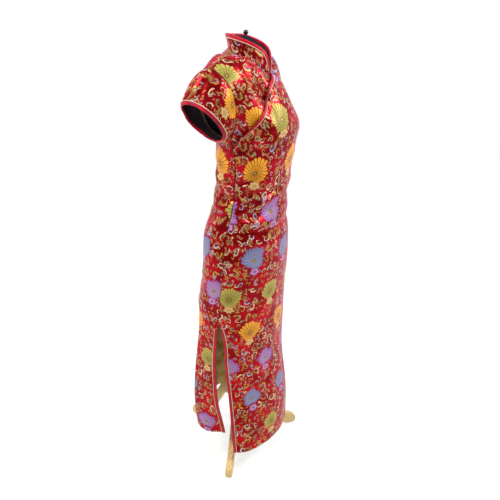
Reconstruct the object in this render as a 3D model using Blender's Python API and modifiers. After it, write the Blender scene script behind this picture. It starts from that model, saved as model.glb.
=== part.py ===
"""Full-length cheongsam on a limbless dress form with a three-legged wooden stand.

Metres, +Z up. The wearer would face -Y, so the wearer's right is -X. The origin is on
the floor, at the middle of the whole object. The cloth pieces are walls cut from one
skin, so that neighbours share their seam lines and stay a hair apart.
"""

import math

import bmesh
import bpy
import numpy as np

# ---------------------------------------------------------------- driving dimensions
AXIS_Y = -0.0178           # the pole's place, which puts the origin at the middle
WALL = 0.0016              # brocade with its seam turnings pressed flat
COLLAR_WALL = 0.0024       # stiffened collar
SEAM_GAP = 0.0004          # what parts neighbouring pieces
SLEEVE_GAP = 0.0022        # what parts a sleeve from the armhole, where they meet at a fold
SKIN_GAP = 0.0003          # what parts a trim from the cloth under it
ROUND_POWER = 2.0 / 2.2    # sections a little squarer than an ellipse

PATCH_Z = 1.010            # where the bodice takes over from the skirt tube
UNDERARM = (0.149, -0.052, 1.068)
SHOULDER_TIP = (0.182, -0.016, 1.250)
NECK_SIDE = (0.058, -0.042, 1.272)
NECK_FRONT = (0.0, -0.102, 1.235)
NECK_BACK = (0.0, 0.018, 1.298)
BUST_FULLNESS = 0.020
CHEST_FULLNESS = 0.021     # how far the cloth rounds out between collar and armhole
BACK_FULLNESS = 0.019      # and over the shoulder blade

SLIT_TOP = 0.535
BINDING_TOP = 0.515        # where a slit is open enough for its bindings
HEM_FRONT = 0.080
HEM_BACK = 0.130

BINDING_WIDTH = 0.0082
BINDING_CLOTH = 0.0008
COLLAR_FOOT_GAP = 0.003    # how far above the neckline the collar's trims end
TRIM_GAP = 0.0005          # between a binding and the cloth that it wraps
PIPING_SIZE = 0.0022
PIPING_RISE = 0.0019       # how high a piping's middle lies over the cloth
TUCK_SHARE = 0.063         # how far the under front runs beneath the opening's edge
OPENING_STRIP = 0.043      # the height of that edge's binding, both as patch shares
LIFT = 0.0026              # the big front stands proud along the opening
SINK = 0.0030              # and the under front lies lower there
LIFT_REACH = 0.16          # how far from the edge that fades away, as a patch share

ZIP_TOP = 1.022
ZIP_BOTTOM = 0.775
ZIP_WIDTH = 0.010
ZIP_THICKNESS = 0.0013

QUARTER = 9                # cells from the middle of a panel to its side
NECK_CELLS = 4             # of those, the ones along the neckline
NOTCH_SHARE = 0.62         # where the opening meets the side seam below the underarm
YOKE_ROWS = 8              # rows from the underarm up to the shoulder
SLEEVE_ROWS = 6

RED = (0.42, 0.012, 0.030)
CREAM = (0.86, 0.62, 0.45)
DARK_RED = (0.16, 0.008, 0.016)
BINDING_RED = (0.46, 0.010, 0.045)
NAVY = (0.008, 0.008, 0.014)
WOOD = (0.56, 0.36, 0.15)
LILAC = (0.55, 0.50, 0.62)

# One row for each section of the skirt tube, measured from the pole: half the width,
# the depth in front of the pole, the depth behind it.
SECTIONS = (
    # z, half_width, front, back
    (1.068, 0.150, 0.178, 0.055),
    (1.020, 0.146, 0.168, 0.044),
    (0.980, 0.140, 0.159, 0.041),
    (0.940, 0.134, 0.154, 0.048),
    (0.900, 0.131, 0.150, 0.052),
    (0.860, 0.135, 0.146, 0.059),
    (0.820, 0.144, 0.146, 0.074),
    (0.780, 0.155, 0.150, 0.086),
    (0.740, 0.164, 0.150, 0.088),
    (0.700, 0.170, 0.149, 0.088),
    (0.640, 0.173, 0.145, 0.096),
    (0.560, 0.173, 0.139, 0.108),
    (0.480, 0.172, 0.136, 0.114),
    (0.400, 0.174, 0.132, 0.122),
    (0.320, 0.178, 0.136, 0.130),
    (0.240, 0.183, 0.147, 0.135),
    (0.160, 0.187, 0.153, 0.130),
    (0.080, 0.188, 0.153, 0.118),
)

# Where a slit's two edges hang, as distances forward of the side line.
SLIT_EDGES = (
    # z, front_edge, back_edge, back_curl
    (0.535, 0.0002, 0.0002, 0.000),
    (0.475, 0.018, -0.003, 0.000),
    (0.400, 0.027, -0.002, 0.000),
    (0.320, 0.037, 0.000, 0.004),
    (0.240, 0.043, 0.001, 0.012),
    (0.160, 0.045, 0.008, 0.026),
    (0.080, 0.045, 0.012, 0.034),
)

# Rows of the skirt tube, close where the cloth wrinkles and wide where it hangs.
TUBE_ROWS = (
    1.010, 0.987, 0.964, 0.941, 0.920, 0.900, 0.880, 0.860, 0.838, 0.815, 0.790,
    0.760, 0.725, 0.690, 0.650, 0.605, 0.565, 0.535, 0.515, 0.490, 0.455, 0.415, 0.370,
    0.325, 0.280, 0.235, 0.190, 0.145,
)

# The largest folds, each a soft ridge or trough: its middle as an angle round the body
# from the centre front (the wearer's left is positive) and a height, half its length,
# half its width, how far it stands out, and how steeply it climbs towards the left.
FOLDS = (
    # name, angle, z, half_length, half_width, height, climb
    ("waist drag, right upper", -62, 0.965, 0.085, 0.013, -0.0045, 24),
    ("waist ridge, right upper", -50, 0.938, 0.080, 0.013, 0.0045, 22),
    ("waist drag, right", -66, 0.915, 0.095, 0.014, -0.0050, 16),
    ("waist ridge, right", -48, 0.888, 0.090, 0.014, 0.0050, 14),
    ("waist drag, right lower", -60, 0.862, 0.085, 0.014, -0.0045, 8),
    ("hip ridge, right", -40, 0.832, 0.090, 0.016, 0.0040, 4),
    ("waist drag, left upper", 58, 0.955, 0.085, 0.013, -0.0045, -20),
    ("waist ridge, left", 46, 0.915, 0.085, 0.014, 0.0045, -16),
    ("waist drag, left", 62, 0.885, 0.090, 0.014, -0.0045, -10),
    ("waist ridge, left lower", 44, 0.850, 0.085, 0.015, 0.0040, -5),
    ("back hollow, right", -142, 0.925, 0.070, 0.014, -0.0040, -12),
    ("back ridge, right", -150, 0.895, 0.070, 0.014, 0.0042, -8),
    ("back hollow, left", 146, 0.915, 0.070, 0.014, -0.0040, 12),
    ("back ridge, left", 152, 0.880, 0.070, 0.014, 0.0040, 8),
    ("skirt flute, front right", -38, 0.300, 0.030, 0.260, -0.0050, 0),
    ("skirt flute, front left", 42, 0.320, 0.030, 0.260, -0.0050, 0),
    ("skirt flute, front", 4, 0.240, 0.028, 0.200, 0.0030, 0),
    ("skirt flute, back right", -146, 0.360, 0.030, 0.260, -0.0050, 0),
    ("skirt flute, back left", 140, 0.340, 0.030, 0.260, -0.0050, 0),
)

# Seam lines of the bodice on the wearer's left; the right is their mirror image.
CENTRE_FRONT = ((0.0, -0.178, 1.068), (0.0, -0.177, 1.095), (0.0, -0.166, 1.130),
                (0.0, -0.148, 1.168), (0.0, -0.126, 1.203), NECK_FRONT)
CENTRE_BACK = ((0.0, 0.055, 1.068), (0.0, 0.066, 1.110), (0.0, 0.073, 1.160),
               (0.0, 0.069, 1.215), (0.0, 0.050, 1.262), NECK_BACK)
NECKLINE_FRONT = (NECK_FRONT, (0.030, -0.094, 1.240), (0.050, -0.072, 1.253), NECK_SIDE)
NECKLINE_BACK = (NECK_BACK, (0.030, 0.010, 1.294), (0.051, -0.012, 1.284), NECK_SIDE)
SHOULDER_SEAM = (NECK_SIDE, (0.116, -0.033, 1.277), SHOULDER_TIP)
ARMHOLE_FRONT = (UNDERARM, (0.1495, -0.064, 1.100), (0.153, -0.066, 1.150),
                 (0.166, -0.058, 1.205), SHOULDER_TIP)
ARMHOLE_BACK = (UNDERARM, (0.151, -0.018, 1.076), (0.154, 0.020, 1.108),
                (0.158, 0.036, 1.158), (0.169, 0.031, 1.212), (0.178, 0.012, 1.243), SHOULDER_TIP)

# The opening's edge on the right front, from the neck down to the side seam: how far
# across the panel (0 middle, 1 side) and how far up it (0 bodice line, 1 shoulder line).
OPENING = ((0.0, 1.0), (0.11, 0.895), (0.22, 0.805), (0.33, 0.70), (0.44, 0.59), (0.56, 0.48),
           (0.67, 0.40), (0.78, 0.325), (0.89, 0.24), (1.0, 0.149))

# The collar's top line, from the centre back round to the end at the centre front.
COLLAR_TOP = (
    # share of the way round, x, y, z
    (0.00, 0.0000, 0.0270, 1.3300),
    (0.25, 0.0400, 0.0070, 1.3305),
    (0.50, 0.0535, -0.0300, 1.3220),
    (0.75, 0.0340, -0.0780, 1.3010),
    (1.00, 0.0070, -0.1040, 1.2720),
)
COLLAR_END = 0.985         # share of the way round at which the collar stops
COLLAR_CORNER = 0.10       # share over which its front corner rounds off
COLLAR_CORNER_FOOT = 0.35  # the height, as a share, at which that rounding starts

# A cuff is a tilted oval: its middle, and its arms towards the outside and the back.
CUFF_MIDDLE = (0.199, 0.006, 1.113)
CUFF_OUT = (0.030, -0.018, 0.034)
CUFF_BACK = (0.008, 0.054, 0.034)
CAP_ROUNDING = 0.014       # how far a sleeve rounds out between armhole and cuff

# The form under the dress.
FORM_BOTTOM = 0.66
FORM_ROWS = (1.010, 0.964, 0.920, 0.880, 0.838, 0.790, 0.725, FORM_BOTTOM)
FORM_INSET = ((0.66, 0.014), (0.93, 0.013), (1.03, 0.0085), (1.24, 0.0085), (1.27, 0.010))
NECK_CAP = (0.0, -0.036, 1.334)
KNOB_AT = (0.0, -0.030)
KNOB_PROFILE = (
    # radius, height
    (0.0, 1.3402), (0.0040, 1.3392), (0.0066, 1.3362), (0.0072, 1.3332), (0.0062, 1.3300),
    (0.0040, 1.3280), (0.0040, 1.3268), (0.0, 1.3268),
)

# The frogs: where each sits across and up the right front, its knot's radius and the
# reach of its cord loop to either side of the opening.
FROGS = {
    # name: (across, up, knot_radius, loop_reach)
    "frog_neck": (0.035, 0.945, 0.0048, 0.011),
    "frog_chest": (0.375, 0.612, 0.0042, 0.012),
}

# The stand.
POLE_RADIUS = 0.0125
HUB_RADIUS = 0.034
HUB_BOTTOM, HUB_TOP = 0.160, 0.262
LEG_THICKNESS = 0.020
LEG_ROUNDING = 0.002
LEG_ANGLES = {"leg_right": 195.0, "leg_front": 315.0, "leg_back": 75.0}
LEG_OUTLINE = (
    # distance from the pole, height
    (0.0345, 0.250), (0.055, 0.222), (0.080, 0.176), (0.108, 0.128), (0.140, 0.086),
    (0.175, 0.054), (0.203, 0.038), (0.214, 0.030), (0.219, 0.018), (0.217, 0.006),
    (0.209, 0.000), (0.188, 0.000), (0.165, 0.014), (0.132, 0.047), (0.102, 0.084),
    (0.078, 0.124), (0.058, 0.156), (0.0345, 0.168),
)


# ---------------------------------------------------------------- curves and sections
def natural_spline(knots, values):
    """A smooth curve through the values: a function of the same measure as the knots."""
    x = np.asarray(knots, float)
    y = np.asarray(values, float).reshape(len(x), -1)
    h = np.diff(x)
    count = len(x)
    system = np.eye(count)
    right = np.zeros_like(y)
    for i in range(1, count - 1):
        system[i, i - 1:i + 2] = (h[i - 1], 2 * (h[i - 1] + h[i]), h[i])
        right[i] = 6 * ((y[i + 1] - y[i]) / h[i] - (y[i] - y[i - 1]) / h[i - 1])
    bend = np.linalg.solve(system, right)

    def at(where):
        where = np.atleast_1d(np.asarray(where, float))
        i = np.clip(np.searchsorted(x, where) - 1, 0, count - 2)
        a, b = (x[i + 1] - where)[:, None], (where - x[i])[:, None]
        step = h[i][:, None]
        cubic = (bend[i] * a**3 + bend[i + 1] * b**3) / (6 * step)
        line = (y[i] / step - bend[i] * step / 6) * a + (y[i + 1] / step - bend[i + 1] * step / 6) * b
        return cubic + line

    return at


def curve_through(points):
    """A smooth curve through points, as a function of the share of its length."""
    points = np.asarray(points, float)
    length = np.concatenate([[0], np.cumsum(np.linalg.norm(np.diff(points, axis=0), axis=1))])
    return natural_spline(length / length[-1], points)


def from_pole(point):
    """A place measured from the pole, moved to the object's own frame."""
    return np.asarray(point, float) + (0, AXIS_Y, 0)


section_at = natural_spline([-row[0] for row in SECTIONS], [row[1:] for row in SECTIONS])
slit_at = natural_spline([-row[0] for row in SLIT_EDGES], [row[1:] for row in SLIT_EDGES])


def side_line(z):
    """The y of the widest place of the section at height z."""
    half_width, front, back = section_at(-z)[0]
    level = (back - front) / 2
    lean = np.clip((z - 0.96) / (UNDERARM[2] - 0.96), 0, 1)
    return level + (UNDERARM[1] - level) * lean**2


def tube_point(angle, z):
    """A point of the skirt tube, at an angle from the centre front towards the left."""
    half_width, front, back = section_at(-z)[0]
    middle = side_line(z)
    s, c = math.sin(angle), math.cos(angle)
    across = math.copysign(abs(s) ** ROUND_POWER, s)
    along = abs(c) ** ROUND_POWER
    depth = -(front + middle) if c > 0 else back - middle
    return np.array((half_width * across, middle + depth * along, z))


def edge_angle(z, forward):
    """The angle of the point of a section that lies so far forward of its side line."""
    _, front, back = section_at(-z)[0]
    middle = side_line(z)
    reach = front + middle if forward > 0 else back - middle
    c = (abs(forward) / reach) ** (1 / ROUND_POWER)
    return math.acos(math.copysign(min(c, 1.0), forward))


def fold_height(angle, z):
    """How far the folds lift the skin at an angle and height."""
    total = 0.0
    fade = float(np.clip((PATCH_Z - z) / 0.03, 0, 1))
    for _, at_angle, at_z, half_length, half_width, height, climb in FOLDS:
        turn = (math.degrees(angle) - at_angle + 180) % 360 - 180
        round_body = math.radians(turn) * 0.145
        up = z - at_z
        slope = math.radians(climb)
        along = round_body * math.cos(slope) + up * math.sin(slope)
        across = up * math.cos(slope) - round_body * math.sin(slope)
        total += height * math.exp(-((along / half_length) ** 2) - (across / half_width) ** 2)
    return total * fade


# ---------------------------------------------------------------- the skin's sheets
class Sheet:
    """A piece of the skin: its points and its cells, facing outwards, and where each
    of its blocks of points is found."""

    def __init__(self, blocks):
        self.points = []
        self.cells = []
        self.index = {}
        self.blocks = {name: self.add(block) for name, block in blocks.items()}

    def place(self, point):
        key = tuple(np.round(np.asarray(point) * 1e6).astype(int))
        if key not in self.index:
            self.index[key] = len(self.points)
            self.points.append(np.asarray(point, float))
        return self.index[key]

    def add(self, block):
        """Adds a grid of points, rows upwards and columns to the wearer's left."""
        rows, columns = block.shape[:2]
        names = [[self.place(block[j, i]) for i in range(columns)] for j in range(rows)]
        for j in range(rows - 1):
            for i in range(columns - 1):
                around = (names[j][i], names[j][i + 1], names[j + 1][i + 1], names[j + 1][i])
                cell = [name for k, name in enumerate(around) if name != around[k - 1]]
                if len(cell) > 2:
                    self.cells.append(cell)
        return np.array(names)


def keys_of(points):
    return [tuple(np.round(np.asarray(point) * 1e5).astype(int)) for point in points]


def shared_normals(sheets):
    """The normal at each point of each sheet, the same on both sides of every seam."""
    total = {}
    for sheet in sheets:
        keys = keys_of(sheet.points)
        for cell in sheet.cells:
            corners = [sheet.points[name] for name in cell]
            normal = sum(
                np.cross(corners[k] - corners[0], corners[(k + 1) % len(cell)] - corners[0])
                for k in range(1, len(cell) - 1)
            )
            for name in cell:
                total[keys[name]] = total.get(keys[name], 0) + normal
    return total


def normals_for(sheet, total):
    found = np.array([total[key] for key in keys_of(sheet.points)])
    return found / np.linalg.norm(found, axis=1)[:, None]


def border_edges(cells):
    """The edges that only one cell has, each in the cell's own direction."""
    seen = {}
    for cell in cells:
        for k, start in enumerate(cell):
            edge = (start, cell[(k + 1) % len(cell)])
            if edge[::-1] in seen:
                del seen[edge[::-1]]
            else:
                seen[edge] = True
    return list(seen)


def drawn_in(points, normals, cells, gap):
    """The points, with the border moved inwards along the skin by half a gap."""
    inward = np.zeros_like(points)
    for start, end in border_edges(cells):
        along = points[end] - points[start]
        direction = np.cross((normals[start] + normals[end]) / 2, along)
        direction /= np.linalg.norm(direction)
        inward[start] += direction
        inward[end] += direction
    size = np.linalg.norm(inward, axis=1)
    moving = size > 1e-6
    result = points.copy()
    reach = np.minimum(2.0 / size[moving], 1.6)
    result[moving] += inward[moving] / size[moving, None] * (gap / 2 * reach)[:, None]
    return result


class Cloth:
    """A cloth piece as it lies: the points of its sheet's outer face, and the normals."""

    def __init__(self, sheet, total, lift=None, gap=SEAM_GAP):
        self.sheet = sheet
        self.normals = normals_for(sheet, total)
        self.points = drawn_in(np.array(sheet.points), self.normals, sheet.cells, gap)
        if lift is not None:
            self.points = self.points + self.normals * lift[:, None]

    def run(self, lines, reach=BINDING_WIDTH, on_strip=False):
        """An edge for a trim: its places, the way into the cloth at each, its normals.

        Each line starts on the edge and goes inwards from point to point of the mesh. On
        a strip the mesh has a row where the binding ends, so the trim keeps to that row.
        """
        places = self.points[np.asarray(lines)]
        insides = []
        for line in places:
            if on_strip:
                insides.append((line[1] - line[0]) / BINDING_WIDTH)
                continue
            far = np.concatenate([[0], np.cumsum(np.linalg.norm(np.diff(line, axis=0), axis=1))])
            goal = np.array([np.interp(reach, far, line[:, axis]) for axis in range(3)])
            insides.append((goal - line[0]) / np.linalg.norm(goal - line[0]))
        names = np.asarray(lines)
        normals = self.normals[names[:, 0]]
        far_normals = self.normals[names[:, 1]] if on_strip else normals
        return places[:, 0], np.array(insides), normals, far_normals


# ---------------------------------------------------------------- making objects
def collection_named(name):
    collection = bpy.data.collections.new(name)
    bpy.context.scene.collection.children.link(collection)
    return collection


def material_named(name, colour, roughness, metallic=0.0):
    material = bpy.data.materials.new(name)
    material.use_nodes = True
    shader = material.node_tree.nodes["Principled BSDF"]
    shader.inputs["Base Color"].default_value = (*colour, 1.0)
    shader.inputs["Roughness"].default_value = roughness
    shader.inputs["Metallic"].default_value = metallic
    material.diffuse_color = (*colour, 1.0)
    return material


def add_object(name, mesh, material):
    mesh.materials.append(material)
    if mesh.polygons:
        mesh.shade_smooth()
        mesh.set_sharp_from_angle(angle=math.radians(40))
    part = bpy.data.objects.new(name, mesh)
    bpy.data.collections["cheongsam_on_dress_form"].objects.link(part)
    return part


def mesh_from(name, points, faces):
    mesh = bpy.data.meshes.new(name)
    mesh.from_pydata([tuple(point) for point in points], [], [tuple(face) for face in faces])
    mesh.update()
    return mesh


def faced_outwards(mesh):
    shape = bmesh.new()
    shape.from_mesh(mesh)
    bmesh.ops.remove_doubles(shape, verts=shape.verts, dist=1e-6)
    bmesh.ops.recalc_face_normals(shape, faces=shape.faces)
    shape.to_mesh(mesh)
    shape.free()
    return mesh


def add_wall(name, cloth, thickness, material):
    """A cloth piece: its sheet as the outer face, and a parallel inner face."""
    cells, count = cloth.sheet.cells, len(cloth.points)
    inner = cloth.points - cloth.normals * thickness
    faces = [list(cell) for cell in cells]
    # Each inner cell is split along the same diagonal as the outer one.
    faces += [[count + name for name in (cell[0], *cell[:0:-1])] for cell in cells]
    faces += [[end, start, count + start, count + end] for start, end in border_edges(cells)]
    return add_object(name, mesh_from(name, [*cloth.points, *inner], faces), material)


def add_swept(name, run, profile, material, closed=False):
    """A trim swept along an edge. Its profile runs on axes into the cloth and outwards,
    and it turns with the cloth's normal from the edge to where a binding ends."""
    rings = [
        [
            centre + inside * u + (normal + (far - normal) * max(u, 0) / BINDING_WIDTH) * v
            for u, v in profile
        ]
        for centre, inside, normal, far in zip(*run)
    ]
    size, count = len(profile), len(rings)
    faces = []
    for j in range(count if closed else count - 1):
        near, far = j * size, ((j + 1) % count) * size
        for k in range(size):
            after = (k + 1) % size
            face = (near + k, near + after, far + after, far + k)
            # Split along the cloth's own diagonal, from inside at one place to the edge
            # at the next.
            faces.append(face if profile[k][0] >= profile[after][0] else face[1:] + face[:1])
    if not closed:
        faces += [tuple(range(size))[::-1], tuple(range(size * (count - 1), size * count))]
    mesh = mesh_from(name, [point for ring in rings for point in ring], faces)
    return add_object(name, faced_outwards(mesh), material)


def add_turned(name, profile, centre, material, steps=20):
    """A turned piece: radii and heights down its outer side, spun on a vertical axis."""
    mesh = mesh_from(name, [(radius, 0, z) for radius, z in profile], [])
    mesh.edges.add(len(profile) - 1)
    for k, edge in enumerate(mesh.edges):
        edge.vertices = (k, k + 1)
    part = add_object(name, mesh, material)
    part.location = from_pole((*centre, 0.0))
    screw = part.modifiers.new("Turn", "SCREW")
    screw.steps = screw.render_steps = steps
    screw.use_merge_vertices = True
    screw.merge_threshold = 0.00005
    screw.use_smooth_shade = True
    return part


def cord_profile(middle, height, size, sides=6):
    turns = [2 * math.pi * (k + 0.5) / sides for k in range(sides)]
    return [
        (middle + size / 2 * math.cos(turn), height + size / 2 * math.sin(turn)) for turn in turns
    ]


def binding_profile(width, wall):
    """A strip folded round an edge: how far in from the edge, and how far out of it."""
    above, below = TRIM_GAP, -wall - TRIM_GAP
    end = 0.0002 - TRIM_GAP
    return [
        (width, above), (end, above), (end, below), (width, below),
        (width, below - BINDING_CLOTH), (end - BINDING_CLOTH, below - BINDING_CLOTH),
        (end - BINDING_CLOTH, above + BINDING_CLOTH), (width, above + BINDING_CLOTH),
    ]


# ---------------------------------------------------------------- the skin of the dress
def tube_block(front, heights, folded=True):
    """Rows of a skirt panel from the bottom up, with the slits' edges as its sides."""
    block = []
    for z in sorted(heights):
        if z < SLIT_TOP:
            front_edge, back_edge, curl = slit_at(-z)[0]
            end = edge_angle(z, front_edge if front else back_edge)
        else:
            end, curl = math.pi / 2, 0.0
        if front:
            angles = np.linspace(-end, end, 2 * QUARTER + 1)
        else:
            angles = np.linspace(end, 2 * math.pi - end, 2 * QUARTER + 1)
        line = []
        for angle in angles:
            point = tube_point(angle, z)
            ahead = tube_point(angle + 0.01, z) - tube_point(angle - 0.01, z)
            outward = np.array((ahead[1], -ahead[0], 0)) / np.hypot(ahead[0], ahead[1])
            to_edge = 0.17 * min(abs(angle - angles[0]), abs(angle - angles[-1]))
            lift = fold_height(angle, z) if folded else 0.0
            if not front:
                lift -= curl * math.exp(-((to_edge / 0.055) ** 2))
            line.append(from_pole(point + outward * lift))
        block.append(line)
    return np.array(block)


def seam_from_tube(curve):
    """A bodice seam, started at the bodice line on the tube so that it runs on smoothly."""
    angle = 0.0 if curve[0][1] < 0 else math.pi
    return [tube_point(angle, PATCH_Z), tube_point(angle, 1.04), *curve]


class Bodice:
    """One quarter of the bodice: the patch between its seam lines on one side."""

    def __init__(self, front, side):
        self.front, self.side = front, side
        self.centre = curve_through(seam_from_tube(CENTRE_FRONT if front else CENTRE_BACK))
        # The armhole starts at the underarm; the side seam below it is its own stretch.
        self.armhole = curve_through(ARMHOLE_FRONT if front else ARMHOLE_BACK)
        self.neckline = curve_through(NECKLINE_FRONT if front else NECKLINE_BACK)
        self.shoulder = curve_through(SHOULDER_SEAM)
        line = self.centre(np.linspace(0, 1, 200))
        self.band = float(np.argmin(abs(line[:, 2] - UNDERARM[2]))) / 199
        self.notch = self.band * NOTCH_SHARE

    def outer(self, t):
        """The side of the patch: up the side seam, then round the armhole."""
        if t <= self.band:
            z = PATCH_Z + (UNDERARM[2] - PATCH_Z) * t / self.band
            return tube_point(math.pi / 2, z)
        return self.armhole((t - self.band) / (1 - self.band))[0]

    def bottom(self, s):
        angle = s * math.pi / 2
        return tube_point(angle if self.front else math.pi - angle, PATCH_Z)

    def top(self, s):
        corner = NECK_CELLS / QUARTER
        if s <= corner:
            return self.neckline(s / corner)[0]
        return self.shoulder((s - corner) / (1 - corner))[0]

    def fullness(self, s, t, place):
        """How far the cloth rounds out over the form, beyond what the seams give."""
        inside = min(1.0, 4 * s * (1 - s))
        middle = 0.55 if self.front else 0.64
        high = math.exp(-(((s - middle) / 0.28) ** 2) - ((t - 0.91) / 0.17) ** 2)
        high *= inside * min(1.0, (1 - t) / 0.08)
        if not self.front:
            return BACK_FULLNESS * high * np.array((0.05, 0.55, 0.83))
        low = math.exp(-(((place[0] - 0.080) / 0.052) ** 2) - ((place[2] - 1.095) / 0.050) ** 2)
        low *= inside * min(1.0, t / self.band)
        chest = CHEST_FULLNESS * high * np.array((0.10, -0.78, 0.60))
        return chest + BUST_FULLNESS * low * np.array((0, -1, 0))

    def point(self, s, t):
        """The place a share s across and t up, blended from the four seam lines."""
        t = min(t, 1.0)
        blend = (1 - t) * self.bottom(s) + t * self.top(s)
        blend = blend + (1 - s) * self.centre(t)[0] + s * self.outer(t)
        blend = blend - (1 - t) * ((1 - s) * self.bottom(0) + s * self.bottom(1))
        blend = blend - t * ((1 - s) * self.top(0) + s * self.top(1))
        return from_pole((blend + self.fullness(s, t, blend)) * (self.side, 1, 1))

    def heights(self):
        """The rows above the notch, as shares of the patch."""
        yoke = [self.band + (1 - self.band) * k / YOKE_ROWS for k in range(YOKE_ROWS + 1)]
        return [self.notch, *yoke]

    def grid(self, rows, columns=None):
        """Points at each row, given as a share or as a function of the share across."""
        columns = [i / QUARTER for i in range(QUARTER + 1)] if columns is None else columns
        grid = np.array([
            [self.point(s, row(s) if callable(row) else row) for s in columns] for row in rows
        ])
        # Columns run to the wearer's left on a front, and to the right on a back.
        return grid[:, ::-1] if (self.side > 0) != self.front else grid

    def whole(self):
        return self.grid([0.0, *self.heights()])


opening_at = natural_spline([row[0] for row in OPENING], [row[1:] for row in OPENING])


def opening_share(s, notch):
    """How far up the right front the opening's edge runs."""
    if s <= 0 or s >= 1:
        return 1.0 if s <= 0 else notch
    return float(np.clip(opening_at(s)[0, 0], notch, 1.0))


def lapel_rows(quarter):
    """Rows of the big front from the notch up to the opening's edge, as functions of the
    share across. The last but one lies where the edge's binding ends."""
    low, heights = quarter.notch, quarter.heights()

    def row(height):
        def at(s):
            edge = opening_share(s, low)
            strip = 1 - heights[-2] if s <= 0 else min(OPENING_STRIP, edge - low)
            return low + (edge - strip - low) * (height - low) / (heights[-2] - low)
        return at

    return [*[row(height) for height in heights[:-1]], lambda s: opening_share(s, low)]


def under_rows(quarter):
    """Rows of the under front from the opening's edge up to the shoulder."""
    low = quarter.notch

    def row(height):
        def at(s):
            edge = opening_share(s, low)
            return edge + (1 - edge) * (height - low) / (1 - low)
        return at

    return [row(height) for height in quarter.heights()]


def armhole_ring(quarters, side):
    """The armhole's points from the underarm up the front and down the back."""
    front, back = quarters[True, side], quarters[False, side]
    up = [front.point(1.0, t) for t in front.heights()[1:]]
    down = [back.point(1.0, t) for t in back.heights()[1:]]
    return np.array(up + down[-2::-1])


def cuff_ring(ring, side):
    """The cuff's points, each straight out from its point of the armhole."""
    ring = (ring - from_pole((0, 0, 0))) * (side, 1, 1)
    middle = ring[:-1].mean(axis=0)
    turns = np.linspace(0, 2 * math.pi, 721)
    out, back = np.array(CUFF_OUT), np.array(CUFF_BACK)
    arms = -np.cos(turns)[:, None] * out - np.sin(turns)[:, None] * back
    # The direction of each, as a turn from straight down towards the front.
    ways = np.unwrap(np.arctan2(-arms[:, 1], -arms[:, 2]))
    wanted = np.unwrap(np.arctan2(-(ring - middle)[:, 1], -(ring - middle)[:, 2]))
    wanted += 2 * math.pi * np.round((ways.mean() - wanted.mean()) / (2 * math.pi))
    full = np.concatenate([turns - 2 * math.pi, turns, turns + 2 * math.pi])
    around = np.concatenate([ways - 2 * math.pi, ways, ways + 2 * math.pi])
    found = np.interp(wanted, around, full)
    cuff = np.array(CUFF_MIDDLE) - np.cos(found)[:, None] * out - np.sin(found)[:, None] * back
    return from_pole(cuff * (side, 1, 1))


def sleeve_block(quarters, side):
    """A short sleeve from the armhole out to the cuff, rounded over the shoulder."""
    ring = armhole_ring(quarters, side)
    cuff = cuff_ring(ring, side)
    middles = (ring + cuff) / 2
    axis = middles[:-1].mean(axis=0)
    away = middles - axis
    away[:, 0] *= 0.5
    away /= np.linalg.norm(away, axis=1)[:, None]
    rounding = CAP_ROUNDING * (1 + 0.7 * away[:, 2] - 0.1 * away[:, 1])
    bent = middles + away * 2 * rounding[:, None]
    # The last row but one lies where the cuff's binding ends.
    far = np.linalg.norm(bent - ring, axis=1) + np.linalg.norm(cuff - bent, axis=1)
    last = (1 - BINDING_WIDTH / far)[:, None]
    rows = []
    for share in np.linspace(0, 1, SLEEVE_ROWS):
        r = last * share
        rows.append(ring * (1 - r) ** 2 + 2 * bent * r * (1 - r) + cuff * r**2)
    # Exact at both ends, so that the seam's points are the same on both sides.
    rows = [ring, *rows[1:], cuff]
    for row in rows:
        row[-1] = row[0]
    block = np.array(rows)
    return block[:, ::-1] if side > 0 else block


def neckline_ring(quarters):
    """The neckline from the left front end round the back to the right front end."""
    shares = [i / QUARTER for i in range(NECK_CELLS + 1)]
    left = [quarters[True, 1].point(s, 1.0) for s in shares]
    left += [quarters[False, 1].point(s, 1.0) for s in shares[-2::-1]]
    right = [quarters[False, -1].point(s, 1.0) for s in shares[1:]]
    right += [quarters[True, -1].point(s, 1.0) for s in shares[-2::-1]]
    return np.array(left + right)


collar_top_half = [row[1:] for row in COLLAR_TOP]
collar_top_at = natural_spline(
    [-row[0] for row in COLLAR_TOP[:0:-1]] + [row[0] for row in COLLAR_TOP],
    [(-x, y, z) for x, y, z in collar_top_half[:0:-1]] + collar_top_half,
)


def collar_height(c):
    """How tall the collar is at a share of the way round, where its corner rounds off."""
    u = np.clip((abs(c) - COLLAR_END + COLLAR_CORNER) / COLLAR_CORNER, 0, 0.999)
    return COLLAR_CORNER_FOOT + (1 - COLLAR_CORNER_FOOT) * math.sqrt(1 - u * u)


def collar_place(ring, c, share):
    """A place on the collar before its corners are cut off, a share of its full height
    up it: c runs from 1 at the left end to -1 at the right."""
    along = (1 - c) * (len(ring) - 1) / 2
    k = int(min(along, len(ring) - 2))
    base = ring[k] + (ring[k + 1] - ring[k]) * (along - k)
    return base * (1 - share) + from_pole(collar_top_at(c)[0]) * share


def collar_point(ring, c, h):
    return collar_place(ring, c, h * collar_height(c))


def collar_shares(ring):
    """The collar's grid: a share round and a share up for each of its points."""
    ends = [COLLAR_END, COLLAR_END - 0.02, COLLAR_END - 0.05, COLLAR_END - 0.08]
    columns = ends + [k / 16 for k in range(14, -15, -1)] + [-c for c in reversed(ends)]
    block = []
    for c in columns:
        low, high = collar_point(ring, c, 0), collar_point(ring, c, 1)
        bound = 1 - BINDING_WIDTH / np.linalg.norm(high - low)
        block.append([(c, h) for h in (0, bound * 0.5, bound, 1)])
    return np.array(block).transpose(1, 0, 2)


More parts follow.
